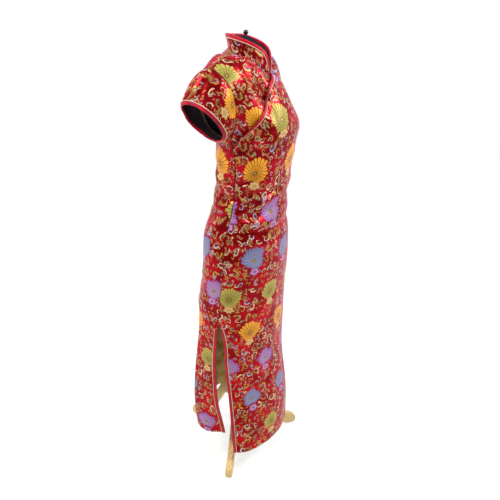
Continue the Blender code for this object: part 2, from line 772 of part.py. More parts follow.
def cut_collar(quarters):
    """The collar as it lies, with the neckline that it follows and its points' shares."""
    ring = neckline_ring(quarters)
    shares = collar_shares(ring)
    sheet = Sheet({"collar": np.array([[collar_point(ring, *at) for at in row] for row in shares])})
    collar = Cloth(sheet, shared_normals([sheet]))
    collar.ring = ring
    names = sheet.blocks["collar"]
    collar.shares = {name: at for line, row in zip(names, shares) for name, at in zip(line, row)}
    return collar


def cut_dress():
    """The sheets of the body and sleeve pieces, and the patches they are cut from."""
    quarters = {(front, side): Bodice(front, side) for front in (True, False) for side in (-1, 1)}
    right = quarters[True, -1]
    inner = [i / QUARTER for i in range(1, QUARTER)]
    edge = lapel_rows(right)[-1]
    tuck_rows = [lambda s: edge(s) - TUCK_SHARE, edge]
    sheets = {
        "front_panel": Sheet({
            "skirt": tube_block(True, [HEM_FRONT, *[z for z in TUBE_ROWS if z > HEM_FRONT + 0.012]]),
            "left_bodice": quarters[True, 1].whole(),
            "right_band": right.grid([0.0, right.notch]),
            "lapel": right.grid(lapel_rows(right)),
        }),
        "back_panel": Sheet({
            "skirt": tube_block(False, [HEM_BACK, *[z for z in TUBE_ROWS if z > HEM_BACK + 0.012]]),
            "left_bodice": quarters[False, 1].whole(),
            "right_bodice": quarters[False, -1].whole(),
        }),
        "under_front": Sheet({
            "tuck": right.grid(tuck_rows, inner),
            "yoke": right.grid(under_rows(right)),
        }),
        "sleeve_right": Sheet({"sleeve": sleeve_block(quarters, -1)}),
        "sleeve_left": Sheet({"sleeve": sleeve_block(quarters, 1)}),
    }
    return sheets, quarters


def opening_strength(s):
    """How far the layers part at the opening: not at all at its two ends."""
    return float(np.clip(min(s / 0.06, (1 - s) / 0.08), 0, 1))


def opening_lift(sheet, right):
    """How far each point of a front stands off the skin, beside the opening."""
    lift = np.zeros(len(sheet.points))
    rows_of = {"lapel": lapel_rows(right), "yoke": under_rows(right)}
    for name in ("lapel", "tuck", "yoke"):
        names = sheet.blocks.get(name, np.zeros((0, 0), int))
        first = 1.0 if name != "tuck" else 1.0 - 1 / QUARTER
        for i in range(names.shape[1]):
            s = first - i / QUARTER
            s = 0.0 if s < 1e-9 else s
            for j in range(names.shape[0]):
                away = 0.0
                if name in rows_of:
                    away = abs(rows_of[name][j](s) - opening_share(s, right.notch))
                fade = math.cos(math.pi / 2 * min(1.0, away / LIFT_REACH)) ** 2
                size = LIFT if name == "lapel" else -SINK
                lift[names[j, i]] = size * opening_strength(s) * fade
    return lift


# ---------------------------------------------------------------- the trims
def part_way(run, first, share):
    """A run's place part of the way from one of its stations to the next."""
    return tuple(part[first] * (1 - share) + part[first + 1] * share for part in run)


def opening_run(cloth, reach):
    """Along the big front's edge from the side up, short of both of its ends."""
    names = cloth.sheet.blocks["lapel"]
    lines = [names[::-1, i] for i in range(1, QUARTER)]
    edge, insides, normals, far = cloth.run(lines, on_strip=True)
    neck, side = cloth.points[names[-1, QUARTER]], cloth.points[names[-1, 0]]
    first = edge[0] + (side - edge[0]) * 0.40
    last = edge[-1] + (neck - edge[-1]) * 0.42
    return (
        np.array([first, *edge, last]),
        np.array([insides[0], *insides, insides[-1]]),
        np.array([normals[0], *normals, normals[-1]]),
        np.array([far[0], *far, far[-1]]),
    )


def collar_run(cloth, reach):
    """Up the collar's left end, along its top and down its right end."""
    names, ring = cloth.sheet.blocks["collar"], cloth.ring
    border = [*names[:, 0], *names[-1, 1:], *names[-2::-1, -1]]
    edge, normals = cloth.points[border].copy(), cloth.normals[border].copy()
    along = np.gradient(edge, axis=0)
    along /= np.linalg.norm(along, axis=1)[:, None]
    insides = np.cross(along, normals)
    corner = len(names) + 4
    middle = slice(corner, -corner)
    insides[middle] = cloth.run(names[::-1].T, on_strip=True)[1][5:-5]
    # Round each front corner the trim goes straight in from the edge.
    for k in [*range(corner), *range(len(border) - corner, len(border))]:
        c, h = cloth.shares[border[k]]
        share = h * collar_height(c)
        slopes = np.stack([
            (collar_place(ring, c + 0.005, share) - collar_place(ring, c - 0.005, share)) / 0.01,
            (collar_place(ring, c, share + 0.05) - collar_place(ring, c, share - 0.05)) / 0.1,
        ], axis=1)
        step = np.linalg.lstsq(slopes, insides[k] * reach, rcond=None)[0]
        goal = collar_place(ring, c + step[0], max(share + step[1], 0.0))
        insides[k] = (goal - collar_place(ring, c, share)) / reach
        normals[k] *= 1.25
    for end, step in ((0, 1), (-1, -1)):
        edge[end] += along[end] * COLLAR_FOOT_GAP * step
    return edge, insides, normals, normals


def cuff_run(cloth, reach):
    names = cloth.sheet.blocks["sleeve"]
    lines = [names[::-1, i] for i in range(names.shape[1] - 1)]
    return cloth.run(lines, on_strip=True)


def slit_run(cloth, side, reach):
    """Up one of a panel's slit edges, from the hem to where its bindings start."""
    names = cloth.sheet.blocks["skirt"]
    heights = np.array(cloth.sheet.points)[names[:, 0], 2]
    front = np.array(cloth.sheet.points)[names[0, QUARTER], 1] < AXIS_Y
    lines = names if (side < 0) == front else names[:, ::-1]
    edge, insides, normals, _ = cloth.run(lines[heights <= BINDING_TOP + 1e-6, :4], reach)
    normals = normals * (1.15 if front else 1.4)
    return edge, insides, normals, normals


def add_bound_edges(cloths, materials):
    """A folded binding on each free edge but the hem, and a piping along it."""
    edges = {
        "collar": (collar_run, cloths["collar"], COLLAR_WALL, False),
        "opening": (opening_run, cloths["front_panel"], WALL, False),
        "cuff_right": (cuff_run, cloths["sleeve_right"], WALL, True),
        "cuff_left": (cuff_run, cloths["sleeve_left"], WALL, True),
    }
    for panel in ("front", "back"):
        for side, word in ((-1, "right"), (1, "left")):
            edges[f"slit_{word}_{panel}"] = (
                lambda cloth, reach, side=side: slit_run(cloth, side, reach),
                cloths[f"{panel}_panel"], WALL, False,
            )
    beside = BINDING_WIDTH + PIPING_SIZE / 2 + SKIN_GAP
    for name, (run, cloth, wall, closed) in edges.items():
        strip = binding_profile(BINDING_WIDTH, wall)
        add_swept(f"{name}_binding", run(cloth, BINDING_WIDTH), strip, materials["binding"], closed)
        cord = cord_profile(beside, PIPING_RISE, PIPING_SIZE)
        add_swept(f"{name}_piping", run(cloth, beside), cord, materials["piping"], closed)


def add_frogs(right, materials):
    """A ball knot and a cord loop lying across the opening, at each of its two frogs."""
    for name, (s, t, knot, reach) in FROGS.items():
        here = right.point(s, t)
        across = (right.point(s + 0.01, t) - here) / 0.01
        up = (right.point(s, t + 0.01) - here) / 0.01
        normal = np.cross(up, across)
        normal /= np.linalg.norm(normal)
        slope = (opening_share(s + 0.02, 0) - opening_share(max(s - 0.02, 0), 0)) / 0.04
        along = across + up * (slope if s > 0.1 else -1.4)
        along /= np.linalg.norm(along)
        beyond = np.cross(along, normal)
        beyond *= np.sign(beyond[2])
        centres = []
        for k in range(16):
            turn = 2 * math.pi * k / 16
            out = reach * math.cos(turn)
            height = np.interp(out, (0.0015, reach), (0.0092, 0.0015))
            centres.append(
                here + beyond * out + along * 0.0034 * math.sin(turn) + normal * height
            )
        centres = np.array(centres)
        ahead = np.roll(centres, -1, axis=0) - np.roll(centres, 1, axis=0)
        insides = np.cross(normal, ahead)
        insides /= np.linalg.norm(insides, axis=1)[:, None]
        normals = np.tile(normal, (16, 1))
        cord = cord_profile(0.0, 0.0, 0.0018)
        run = centres, insides, normals, normals
        add_swept(f"{name}_cord", run, cord, materials[f"{name}_cord"], closed=True)
        middle = here + normal * 0.0140
        turns = [math.pi * k / 8 for k in range(9)]
        ball = [(knot * math.sin(turn), middle[2] + knot * math.cos(turn)) for turn in turns]
        centre = (middle[0], middle[1] - AXIS_Y)
        add_turned(f"{name}_knot", ball, centre, materials[f"{name}_knot"], 14)


def add_side_zip(cloth, material):
    """The concealed zip, closed, behind the wearer's right side seam."""
    skirt, bodice = cloth.sheet.blocks["skirt"], cloth.sheet.blocks["right_bodice"]
    lines = [*skirt[:, :-4:-1], bodice[1, :3] if on_side(cloth, bodice[1, 0]) else bodice[1, :-4:-1]]
    run = cloth.run(lines, ZIP_WIDTH / 2)
    z = run[0][:, 2]
    kept = [k for k in range(len(z)) if ZIP_BOTTOM < z[k] < ZIP_TOP]
    low, high = kept[0] - 1, kept[-1]
    ends = [
        part_way(run, low, (ZIP_BOTTOM - z[low]) / (z[low + 1] - z[low])),
        part_way(run, high, (ZIP_TOP - z[high]) / (z[high + 1] - z[high])),
    ]
    run = tuple(
        np.array([ends[0][k], *part[kept], ends[1][k]]) for k, part in enumerate(run)
    )
    half, top = ZIP_WIDTH / 2, -WALL - 0.0018
    bottom = top - ZIP_THICKNESS
    add_swept("side_zip", run, [(-half, top), (half, top), (half, bottom), (-half, bottom)], material)


def on_side(cloth, name):
    return abs(cloth.points[name][0]) > 0.1


# ---------------------------------------------------------------- the form and its stand
def inset_at(z):
    return np.interp(z, [row[0] for row in FORM_INSET], [row[1] for row in FORM_INSET])


def neck_cap_ring(size):
    """A ring of the neck cap, as a share of the collar's top line, rising to its middle."""
    middle = np.array(NECK_CAP)
    ring = collar_top_at(np.linspace(1, -1, 4 * NECK_CELLS + 1))
    ring[[0, -1], 0] = 0.0
    return np.array([from_pole(middle + (place - middle) * size) for place in ring])


def add_form(quarters, material):
    """The limbless form: the dress's own cut, plain and smaller, closed all round."""
    front = tube_block(True, FORM_ROWS, folded=False)
    back = tube_block(False, FORM_ROWS, folded=False)
    blocks = {"front": front, "back": back}
    for (forward, side), quarter in quarters.items():
        blocks[f"bodice {forward} {side}"] = quarter.whole()
    for name, block in (("front", front), ("back", back)):
        middle = np.tile(from_pole((0, 0, FORM_BOTTOM)), (1, block.shape[1], 1))
        blocks[f"bottom {name}"] = np.concatenate([middle, block[:1]])
    for side in (-1, 1):
        ring = armhole_ring(quarters, side)
        centre = ring[:-1].mean(axis=0) + (0.004 * side, 0, 0)
        rows = [ring, ring * 0.45 + centre * 0.55, np.tile(centre, (len(ring), 1))]
        plate = np.array(rows)
        blocks[f"arm plate {side}"] = plate[:, ::-1] if side > 0 else plate
    ring = neckline_ring(quarters)
    top = neck_cap_ring(1.0)
    rows = [ring, ring * 0.6 + top * 0.4, top, *[neck_cap_ring(size) for size in (0.65, 0.3, 0.0)]]
    blocks["neck"] = np.array(rows)
    sheet = Sheet(blocks)
    normals = normals_for(sheet, shared_normals([sheet]))
    points = np.array(sheet.points)
    points = points - normals * inset_at(points[:, 2])[:, None]
    low = np.array(sheet.points)[:, 2] < FORM_BOTTOM + 0.001
    points[low, 2] = FORM_BOTTOM
    add_object("form_body", mesh_from("form_body", points, sheet.cells), material)


def add_leg(name, angle, material):
    """One flat curved leg, standing out from the hub on its own foot."""
    outline = bpy.data.curves.new(name, "CURVE")
    outline.dimensions = "2D"
    outline.fill_mode = "BOTH"
    outline.extrude = LEG_THICKNESS / 2
    outline.resolution_u = 1
    outline.materials.append(material)
    edge = outline.splines.new("POLY")
    edge.points.add(len(LEG_OUTLINE) - 1)
    for corner, (radius, height) in zip(edge.points, LEG_OUTLINE):
        corner.co = (radius, height, 0, 1)
    edge.use_cyclic_u = True
    leg = bpy.data.objects.new(name, outline)
    bpy.data.collections["cheongsam_on_dress_form"].objects.link(leg)
    leg.location = from_pole((0, 0, 0))
    leg.rotation_euler = (math.pi / 2, 0, math.radians(angle))
    weld = leg.modifiers.new("caps joined", "WELD")
    weld.merge_threshold = 0.0001
    rounding = leg.modifiers.new("rounded edges", "BEVEL")
    rounding.width = LEG_ROUNDING
    rounding.segments = 2
    rounding.limit_method = "ANGLE"
    rounding.angle_limit = math.radians(50)


def add_stand(wood):
    pole = [(0, FORM_BOTTOM - SKIN_GAP), (POLE_RADIUS, FORM_BOTTOM - SKIN_GAP)]
    pole += [(POLE_RADIUS, HUB_TOP + SKIN_GAP), (0, HUB_TOP + SKIN_GAP)]
    add_turned("pole", pole, (0, 0), wood)
    hub = [
        (0, HUB_TOP), (HUB_RADIUS - 0.006, HUB_TOP), (HUB_RADIUS, HUB_TOP - 0.006),
        (HUB_RADIUS, HUB_BOTTOM + 0.006), (HUB_RADIUS - 0.006, HUB_BOTTOM), (0, HUB_BOTTOM),
    ]
    add_turned("hub", hub, (0, 0), wood, 24)
    for name, angle in LEG_ANGLES.items():
        add_leg(name, angle, wood)


# ---------------------------------------------------------------- the whole
def clear_scene():
    for old in list(bpy.data.objects):
        bpy.data.objects.remove(old, do_unlink=True)


def main():
    clear_scene()
    collection_named("cheongsam_on_dress_form")
    brocade = material_named("red_brocade", RED, 0.42)
    materials = {
        "binding": material_named("crimson_binding", BINDING_RED, 0.40),
        "piping": material_named("cream_piping", CREAM, 0.55),
        "frog_neck_knot": material_named("lilac_knot", LILAC, 0.45),
        "frog_chest_knot": material_named("dark_red_knot", DARK_RED, 0.50),
    }
    materials["frog_neck_cord"] = materials["frog_chest_cord"] = materials["binding"]
    navy = material_named("navy_jersey", NAVY, 0.80)
    wood = material_named("golden_wood", WOOD, 0.50)

    sheets, quarters = cut_dress()
    right = quarters[True, -1]
    total = shared_normals(sheets.values())
    cloths = {}
    for name, sheet in sheets.items():
        gap = SLEEVE_GAP if name.startswith("sleeve") else SEAM_GAP
        cloths[name] = Cloth(sheet, total, opening_lift(sheet, right), gap)
        add_wall(name, cloths[name], WALL, brocade)
    cloths["collar"] = cut_collar(quarters)
    add_wall("collar", cloths["collar"], COLLAR_WALL, brocade)

    add_bound_edges(cloths, materials)
    add_frogs(right, materials)
    add_side_zip(cloths["back_panel"], materials["binding"])
    add_form(quarters, navy)
    add_turned("neck_knob", KNOB_PROFILE, KNOB_AT, material_named("dark_knob", NAVY, 0.35), 16)
    add_stand(wood)


main()
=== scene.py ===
"""A brocade cheongsam on a limbless dress form: its cloth, trims, form, stand and stage."""

import functools
import math

import bmesh
import bpy
import numpy as np
from mathutils import Matrix, Vector


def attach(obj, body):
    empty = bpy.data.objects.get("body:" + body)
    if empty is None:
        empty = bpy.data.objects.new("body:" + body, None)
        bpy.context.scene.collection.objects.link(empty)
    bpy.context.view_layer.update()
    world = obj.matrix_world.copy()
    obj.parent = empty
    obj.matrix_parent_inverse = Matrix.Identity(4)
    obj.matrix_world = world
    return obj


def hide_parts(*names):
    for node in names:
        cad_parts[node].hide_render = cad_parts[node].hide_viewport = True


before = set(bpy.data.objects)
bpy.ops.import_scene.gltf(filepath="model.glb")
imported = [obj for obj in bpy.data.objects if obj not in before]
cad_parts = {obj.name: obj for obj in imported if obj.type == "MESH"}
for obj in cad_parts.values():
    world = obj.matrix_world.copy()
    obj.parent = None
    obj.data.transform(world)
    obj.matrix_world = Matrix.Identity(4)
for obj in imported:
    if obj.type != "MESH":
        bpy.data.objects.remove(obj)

bl_info = {
    "name": "Cheongsam on a dress form",
    "version": (1, 0, 0),
    "blender": (4, 5, 0),
    "location": "View3D > Sidebar > Cheongsam",
    "description": "Builds a brocade cheongsam on its form and stand, with trims and stitching",
    "category": "Add Mesh",
}

# ---------------------------------------------------------------- sizes of the object
AXIS_Y = -0.0178
WALL, COLLAR_WALL = 0.0016, 0.0024
SEAM_GAP, SLEEVE_GAP, SKIN_GAP = 0.0004, 0.0022, 0.0003
SEAM_SINK = 0.0004             # how much lower a seam lies than the cloth beside it
SIDE_GAP, ZIP_GAP = 0.0010, 0.0012  # how much wider the right side seam and its zip gape
ROUND_POWER = 2.0 / 2.2
PATCH_Z = 1.010
UNDERARM = (0.149, -0.052, 1.068)
SHOULDER_TIP = (0.182, -0.016, 1.250)
NECK_SIDE = (0.058, -0.042, 1.272)
NECK_FRONT = (0.0, -0.102, 1.235)
NECK_BACK = (0.0, 0.018, 1.298)
BUST_FULLNESS, CHEST_FULLNESS, BACK_FULLNESS = 0.020, 0.021, 0.019
SLIT_TOP, BINDING_TOP = 0.535, 0.515
HEM_FRONT, HEM_BACK = 0.080, 0.130
BINDING_WIDTH, BINDING_CLOTH, TRIM_GAP = 0.0082, 0.0008, 0.0004
PIPING_SIZE, PIPING_RISE = 0.0022, 0.0017
TUCK_SHARE = 0.063
LIFT, SINK, LIFT_REACH = 0.0026, 0.0030, 0.16
LOW_GAPE = 0.9                 # how much more the opening gapes near the underarm
ZIP_TOP, ZIP_BOTTOM, ZIP_WIDTH = 1.022, 0.775, 0.010
NOTCH_SHARE = 0.62
COLLAR_END, COLLAR_CORNER, COLLAR_CORNER_FOOT = 0.985, 0.10, 0.35
COLLAR_FOOT_GAP = 0.003
CUFF_MIDDLE = (0.199, 0.006, 1.113)
CUFF_OUT, CUFF_BACK = (0.030, -0.018, 0.034), (0.008, 0.054, 0.034)
CAP_ROUNDING = 0.011
BODY_RADIUS, SKIRT_RADIUS = 0.145, 0.17
CURL_REACH = 0.055             # how far in from a slit its back edge curls
BUST_AT, BUST_SIZE = (0.080, 1.095), (0.052, 0.050)
RIGHT_CREASE_SHIFT = (0, 0.004, -0.006)
COLLAR_EDGE_DEPTH = 0.014
FORM_BOTTOM = 0.66
NECK_CAP = (0.0, -0.036, 1.334)
HUB_BOTTOM, HUB_TOP, HUB_RADIUS, POLE_RADIUS = 0.160, 0.262, 0.034, 0.0125
LEG_THICKNESS, LEG_ROUNDING, HUB_ROUNDING = 0.020, 0.0028, 0.006
GRAIN_LEAN = 52                # degrees from a leg's grain to the level
LOOP_CORD, LOOP_HALF_WIDTH, KNOT_HEIGHT = 0.0020, 0.0034, 0.0140
STITCH_SIZE, HEM_STITCH_SIZE = (0.0019, 0.00045, 0.00040), (0.0022, 0.00045, 0.00040)
HEM_STITCH_PITCH, HEM_STITCH_ROW = 0.007, 5
COIL_PITCH, COIL_SIZE = 0.0013, (0.0007, 0.0040, 0.0011)
SLIDER_PARTS = (
    # middle, size
    (0.006, (0.010, 0.0062, 0.0024)), (0.017, (0.016, 0.0030, 0.0009)),
)
BEAD_SIDES, BEAD_RINGS = 6, 4
PETALS, INNER_PETALS = 22, 15
FULL_TURN = 6.283

# The grid of the fine cloth.
QUARTER = 45               # cells from the middle of a panel to its side
NECK_CELLS = 20            # of those, the ones along the neckline
ROW = 0.0055               # height of a row of the skirt
YOKE_ROWS = 40
SLEEVE_ROWS = 20

SECTIONS = (
    # z, half_width, front, back
    (1.068, 0.150, 0.178, 0.055), (1.020, 0.146, 0.168, 0.044), (0.980, 0.140, 0.159, 0.041),
    (0.940, 0.134, 0.154, 0.048), (0.900, 0.131, 0.150, 0.052), (0.860, 0.135, 0.146, 0.059),
    (0.820, 0.144, 0.146, 0.074), (0.780, 0.155, 0.150, 0.086), (0.740, 0.164, 0.150, 0.088),
    (0.700, 0.170, 0.149, 0.088), (0.640, 0.173, 0.145, 0.096), (0.560, 0.173, 0.139, 0.108),
    (0.480, 0.172, 0.136, 0.114), (0.400, 0.174, 0.132, 0.122), (0.320, 0.178, 0.136, 0.130),
    (0.240, 0.183, 0.147, 0.135), (0.160, 0.187, 0.153, 0.130), (0.080, 0.188, 0.153, 0.118),
)
SLIT_EDGES = (
    # z, front_edge, back_edge, back_curl
    (0.535, 0.0002, 0.0002, 0.000), (0.475, 0.018, -0.003, 0.000), (0.400, 0.027, -0.002, 0.000),
    (0.320, 0.037, 0.000, 0.004), (0.240, 0.043, 0.001, 0.012), (0.160, 0.045, 0.008, 0.026),
    (0.080, 0.045, 0.012, 0.034),
)
# Soft ridges and troughs of the skirt: an angle from the centre front towards the left and
# a height, half a length, half a width, how far it stands out, how steeply it climbs.
# FOLD_STRENGTH multiplies how far each of them stands out.
FOLD_STRENGTH = 1.5
FOLDS = (
    (-62, 0.965, 0.085, 0.013, -0.0045, 24), (-50, 0.938, 0.080, 0.013, 0.0045, 22),
    (-66, 0.915, 0.095, 0.014, -0.0050, 16), (-48, 0.888, 0.090, 0.014, 0.0050, 14),
    (-60, 0.862, 0.085, 0.014, -0.0045, 8), (-40, 0.832, 0.090, 0.016, 0.0040, 4),
    (58, 0.955, 0.085, 0.013, -0.0030, -20), (46, 0.915, 0.085, 0.014, 0.0020, -16),
    (62, 0.885, 0.090, 0.014, -0.0032, -10), (44, 0.850, 0.085, 0.015, 0.0026, -5),
    (-142, 0.925, 0.070, 0.014, -0.0026, -12), (-150, 0.895, 0.070, 0.014, 0.0026, -8),
    (146, 0.915, 0.070, 0.014, -0.0026, 12), (152, 0.880, 0.070, 0.014, 0.0026, 8),
    (-38, 0.300, 0.030, 0.260, -0.0050, 0), (42, 0.320, 0.030, 0.260, -0.0050, 0),
    (4, 0.240, 0.028, 0.200, 0.0030, 0), (-146, 0.360, 0.030, 0.260, -0.0050, 0),
    (140, 0.340, 0.030, 0.260, -0.0050, 0),
)
# The finer creases between them. CRISPNESS multiplies how far each of them stands out.
CRISPNESS = 2.3
FINE_FOLDS = (
    (-74, 0.978, 0.045, 0.0075, 0.0022, 30), (-70, 0.944, 0.050, 0.0070, 0.0026, 22),
    (-72, 0.899, 0.050, 0.0070, 0.0028, 12), (-76, 0.872, 0.045, 0.0070, -0.0022, 6),
    (-36, 0.912, 0.060, 0.0085, -0.0030, 18), (-30, 0.866, 0.065, 0.0085, -0.0026, 10),
    (-22, 0.940, 0.050, 0.0080, 0.0018, 20), (-52, 0.812, 0.070, 0.0100, -0.0028, 2),
    (-68, 0.838, 0.050, 0.0080, 0.0022, -4), (-24, 0.826, 0.060, 0.0110, 0.0020, 6),
    (-58, 0.775, 0.080, 0.0130, 0.0020, -6), (-44, 0.735, 0.075, 0.0130, -0.0018, -10),
    (-98, 0.940, 0.040, 0.0080, 0.0022, -18), (-102, 0.905, 0.045, 0.0080, -0.0026, -10),
    (-112, 0.872, 0.050, 0.0090, 0.0024, -4), (-120, 0.842, 0.055, 0.0100, -0.0022, 4),
    (-128, 0.955, 0.045, 0.0090, 0.0022, -20), (-165, 0.850, 0.060, 0.0110, 0.0018, 0),
    (-105, 0.800, 0.050, 0.0120, 0.0018, 10), (70, 0.972, 0.045, 0.0075, 0.0022, -28),
    (74, 0.925, 0.050, 0.0070, 0.0026, -18), (34, 0.890, 0.060, 0.0090, -0.0017, -12),
    (72, 0.866, 0.045, 0.0075, 0.0024, -4), (26, 0.935, 0.055, 0.0090, 0.0009, -18),
    (54, 0.815, 0.070, 0.0100, -0.0026, 0), (100, 0.930, 0.045, 0.0080, -0.0024, 16),
    (108, 0.896, 0.050, 0.0085, 0.0024, 8), (118, 0.860, 0.055, 0.0100, -0.0022, -2),
    (168, 0.940, 0.060, 0.0100, -0.0020, 6), (-172, 0.905, 0.060, 0.0090, -0.0020, -4),
    (-56, 0.330, 0.013, 0.170, 0.0022, 0), (-20, 0.360, 0.015, 0.200, -0.0020, 0),
    (-70, 0.190, 0.012, 0.110, -0.0022, 0), (22, 0.280, 0.014, 0.180, 0.0020, 0),
    (60, 0.230, 0.013, 0.140, -0.0022, 0), (-128, 0.260, 0.014, 0.170, 0.0024, 0),
    (-166, 0.300, 0.015, 0.190, -0.0022, 0), (120, 0.220, 0.014, 0.150, 0.0024, 0),
    (164, 0.250, 0.015, 0.180, 0.0020, 0), (-108, 0.420, 0.016, 0.120, -0.0018, 0),
    (-60, 0.620, 0.060, 0.0160, -0.0014, 14), (-34, 0.560, 0.070, 0.0180, 0.0014, 10),
    (50, 0.600, 0.060, 0.0160, -0.0014, -12), (-140, 0.640, 0.070, 0.0180, -0.0016, -10),
    (-150, 0.560, 0.060, 0.0160, 0.0014, -6), (146, 0.600, 0.070, 0.0170, 0.0015, 8),
    # The waist darts, front and back.
    (-27, 0.885, 0.0030, 0.085, -0.0016, 0), (27, 0.885, 0.0030, 0.085, -0.0016, 0),
    (-153, 0.895, 0.0030, 0.075, -0.0016, 0), (153, 0.895, 0.0030, 0.075, -0.0016, 0),
)
# Creases of the bodice and sleeves, from one place to another on the wearer's left; the
# last number is how strongly the right side has the same one.
CREASES = (
    # start, end, half_width, height, on_right
    ((0.150, -0.078, 1.092), (0.098, -0.158, 1.122), 0.010, -0.0030, 1.1),
    ((0.148, -0.090, 1.066), (0.104, -0.156, 1.080), 0.010, 0.0028, 1.2),
    ((0.146, -0.060, 1.040), (0.106, -0.140, 1.046), 0.009, -0.0030, 0.9),
    ((0.118, -0.050, 1.266), (0.134, -0.086, 1.192), 0.011, -0.0028, 1.1),
    ((0.094, -0.060, 1.266), (0.110, -0.104, 1.196), 0.011, 0.0022, 1.2),
    ((0.058, -0.068, 1.256), (0.092, -0.104, 1.212), 0.008, -0.0018, 0.8),
    ((0.158, -0.066, 1.150), (0.128, -0.112, 1.148), 0.010, 0.0024, 0.8),
    ((0.158, 0.042, 1.160), (0.116, 0.076, 1.120), 0.012, -0.0030, 1.0),
    ((0.150, 0.030, 1.104), (0.108, 0.066, 1.072), 0.012, 0.0028, 1.2),
    ((0.148, -0.010, 1.062), (0.110, 0.050, 1.036), 0.010, -0.0028, 1.0),
    ((0.130, 0.022, 1.244), (0.116, 0.064, 1.176), 0.014, -0.0022, 1.3),
    ((0.080, 0.010, 1.276), (0.074, 0.062, 1.215), 0.013, 0.0016, 0.8),
    ((0.052, 0.000, 1.286), (0.030, 0.040, 1.262), 0.007, -0.0014, 1.0),
    ((0.075, 0.018, 1.276), (0.100, 0.040, 1.258), 0.030, -0.0050, 1.0),
    ((0.200, -0.010, 1.236), (0.224, 0.004, 1.158), 0.011, -0.0030, 1.1),
    ((0.184, -0.048, 1.205), (0.200, -0.042, 1.118), 0.010, -0.0030, 1.0),
    ((0.192, -0.034, 1.220), (0.214, -0.028, 1.140), 0.009, 0.0026, 1.0),
    ((0.188, 0.036, 1.214), (0.214, 0.050, 1.150), 0.011, 0.0028, 0.9),
    ((0.178, 0.048, 1.180), (0.198, 0.060, 1.130), 0.009, -0.0026, 1.2),
)

CENTRE_FRONT = ((0.0, -0.178, 1.068), (0.0, -0.177, 1.095), (0.0, -0.166, 1.130),
                (0.0, -0.148, 1.168), (0.0, -0.126, 1.203), NECK_FRONT)
CENTRE_BACK = ((0.0, 0.055, 1.068), (0.0, 0.066, 1.110), (0.0, 0.073, 1.160),
               (0.0, 0.069, 1.215), (0.0, 0.050, 1.262), NECK_BACK)
NECKLINE_FRONT = (NECK_FRONT, (0.030, -0.094, 1.240), (0.050, -0.072, 1.253), NECK_SIDE)
NECKLINE_BACK = (NECK_BACK, (0.030, 0.010, 1.294), (0.051, -0.012, 1.284), NECK_SIDE)
SHOULDER_SEAM = (NECK_SIDE, (0.116, -0.033, 1.277), SHOULDER_TIP)
ARMHOLE_FRONT = (UNDERARM, (0.1495, -0.064, 1.100), (0.153, -0.066, 1.150),
                 (0.166, -0.058, 1.205), SHOULDER_TIP)
ARMHOLE_BACK = (UNDERARM, (0.151, -0.018, 1.076), (0.154, 0.020, 1.108),
                (0.158, 0.036, 1.158), (0.169, 0.031, 1.212), (0.178, 0.012, 1.243), SHOULDER_TIP)
OPENING = ((0.0, 1.0), (0.11, 0.895), (0.22, 0.805), (0.33, 0.70), (0.44, 0.59), (0.56, 0.48),
           (0.67, 0.40), (0.78, 0.325), (0.89, 0.24), (1.0, 0.149))
COLLAR_TOP = (
    # share of the way round, x, y, z
    (0.00, 0.0000, 0.0270, 1.3300), (0.25, 0.0400, 0.0070, 1.3305),
    (0.50, 0.0535, -0.0300, 1.3220), (0.75, 0.0340, -0.0780, 1.3010),
    (1.00, 0.0070, -0.1040, 1.2720),
)
FORM_INSET = ((0.66, 0.014), (0.93, 0.013), (1.03, 0.0085), (1.24, 0.0085), (1.27, 0.010))
KNOB_AT = (0.0, -0.030)
KNOB_PROFILE = (
    # radius, height
    (0.0, 1.3402), (0.0022, 1.3400), (0.0040, 1.3392), (0.0056, 1.3378), (0.0066, 1.3362),
    (0.0072, 1.3342), (0.0071, 1.3326), (0.0062, 1.3306), (0.0048, 1.3291), (0.0041, 1.3280),
    (0.0040, 1.3268), (0.0, 1.3268),
)
FROGS = {
    # name: (across, up, knot_radius, loop_reach)
    "frog_neck": (0.035, 0.945, 0.0048, 0.011),
    "frog_chest": (0.375, 0.612, 0.0042, 0.012),
}
LEG_ANGLES = {"leg_right": 195.0, "leg_front": 315.0, "leg_back": 75.0}
LEG_OUTLINE = (
    # distance from the pole, height
    (0.0345, 0.250), (0.055, 0.222), (0.080, 0.176), (0.108, 0.128), (0.140, 0.086),
    (0.175, 0.054), (0.203, 0.038), (0.214, 0.030), (0.219, 0.018), (0.217, 0.006),
    (0.209, 0.000), (0.188, 0.000), (0.165, 0.014), (0.132, 0.047), (0.102, 0.084),
    (0.078, 0.124), (0.058, 0.156), (0.0345, 0.168),
)


# ---------------------------------------------------------------- curves and sections
def natural_spline(knots, values):
    """A smooth curve through the values: a function of the same measure as the knots."""
    x = np.asarray(knots, float)
    y = np.asarray(values, float).reshape(len(x), -1)
    h = np.diff(x)
    count = len(x)
    system = np.eye(count)
    right = np.zeros_like(y)
    for i in range(1, count - 1):
        system[i, i - 1:i + 2] = (h[i - 1], 2 * (h[i - 1] + h[i]), h[i])
        right[i] = 6 * ((y[i + 1] - y[i]) / h[i] - (y[i] - y[i - 1]) / h[i - 1])
    bend = np.linalg.solve(system, right)

    def at(where):
        where = np.asarray(where, float)
        i = np.clip(np.searchsorted(x, where) - 1, 0, count - 2)
        a, b = (x[i + 1] - where)[..., None], (where - x[i])[..., None]
        step = h[i][..., None]
        cubic = (bend[i] * a**3 + bend[i + 1] * b**3) / (6 * step)
        low = (y[i] / step - bend[i] * step / 6) * a
        high = (y[i + 1] / step - bend[i + 1] * step / 6) * b
        return cubic + (low + high)

    return at


def curve_through(points):
    """A smooth curve through points, as a function of the share of its length."""
    points = np.asarray(points, float)
    length = np.concatenate([[0], np.cumsum(np.linalg.norm(np.diff(points, axis=0), axis=1))])
    return natural_spline(length / length[-1], points)


def from_pole(points):
    return np.asarray(points, float) + (0, AXIS_Y, 0)


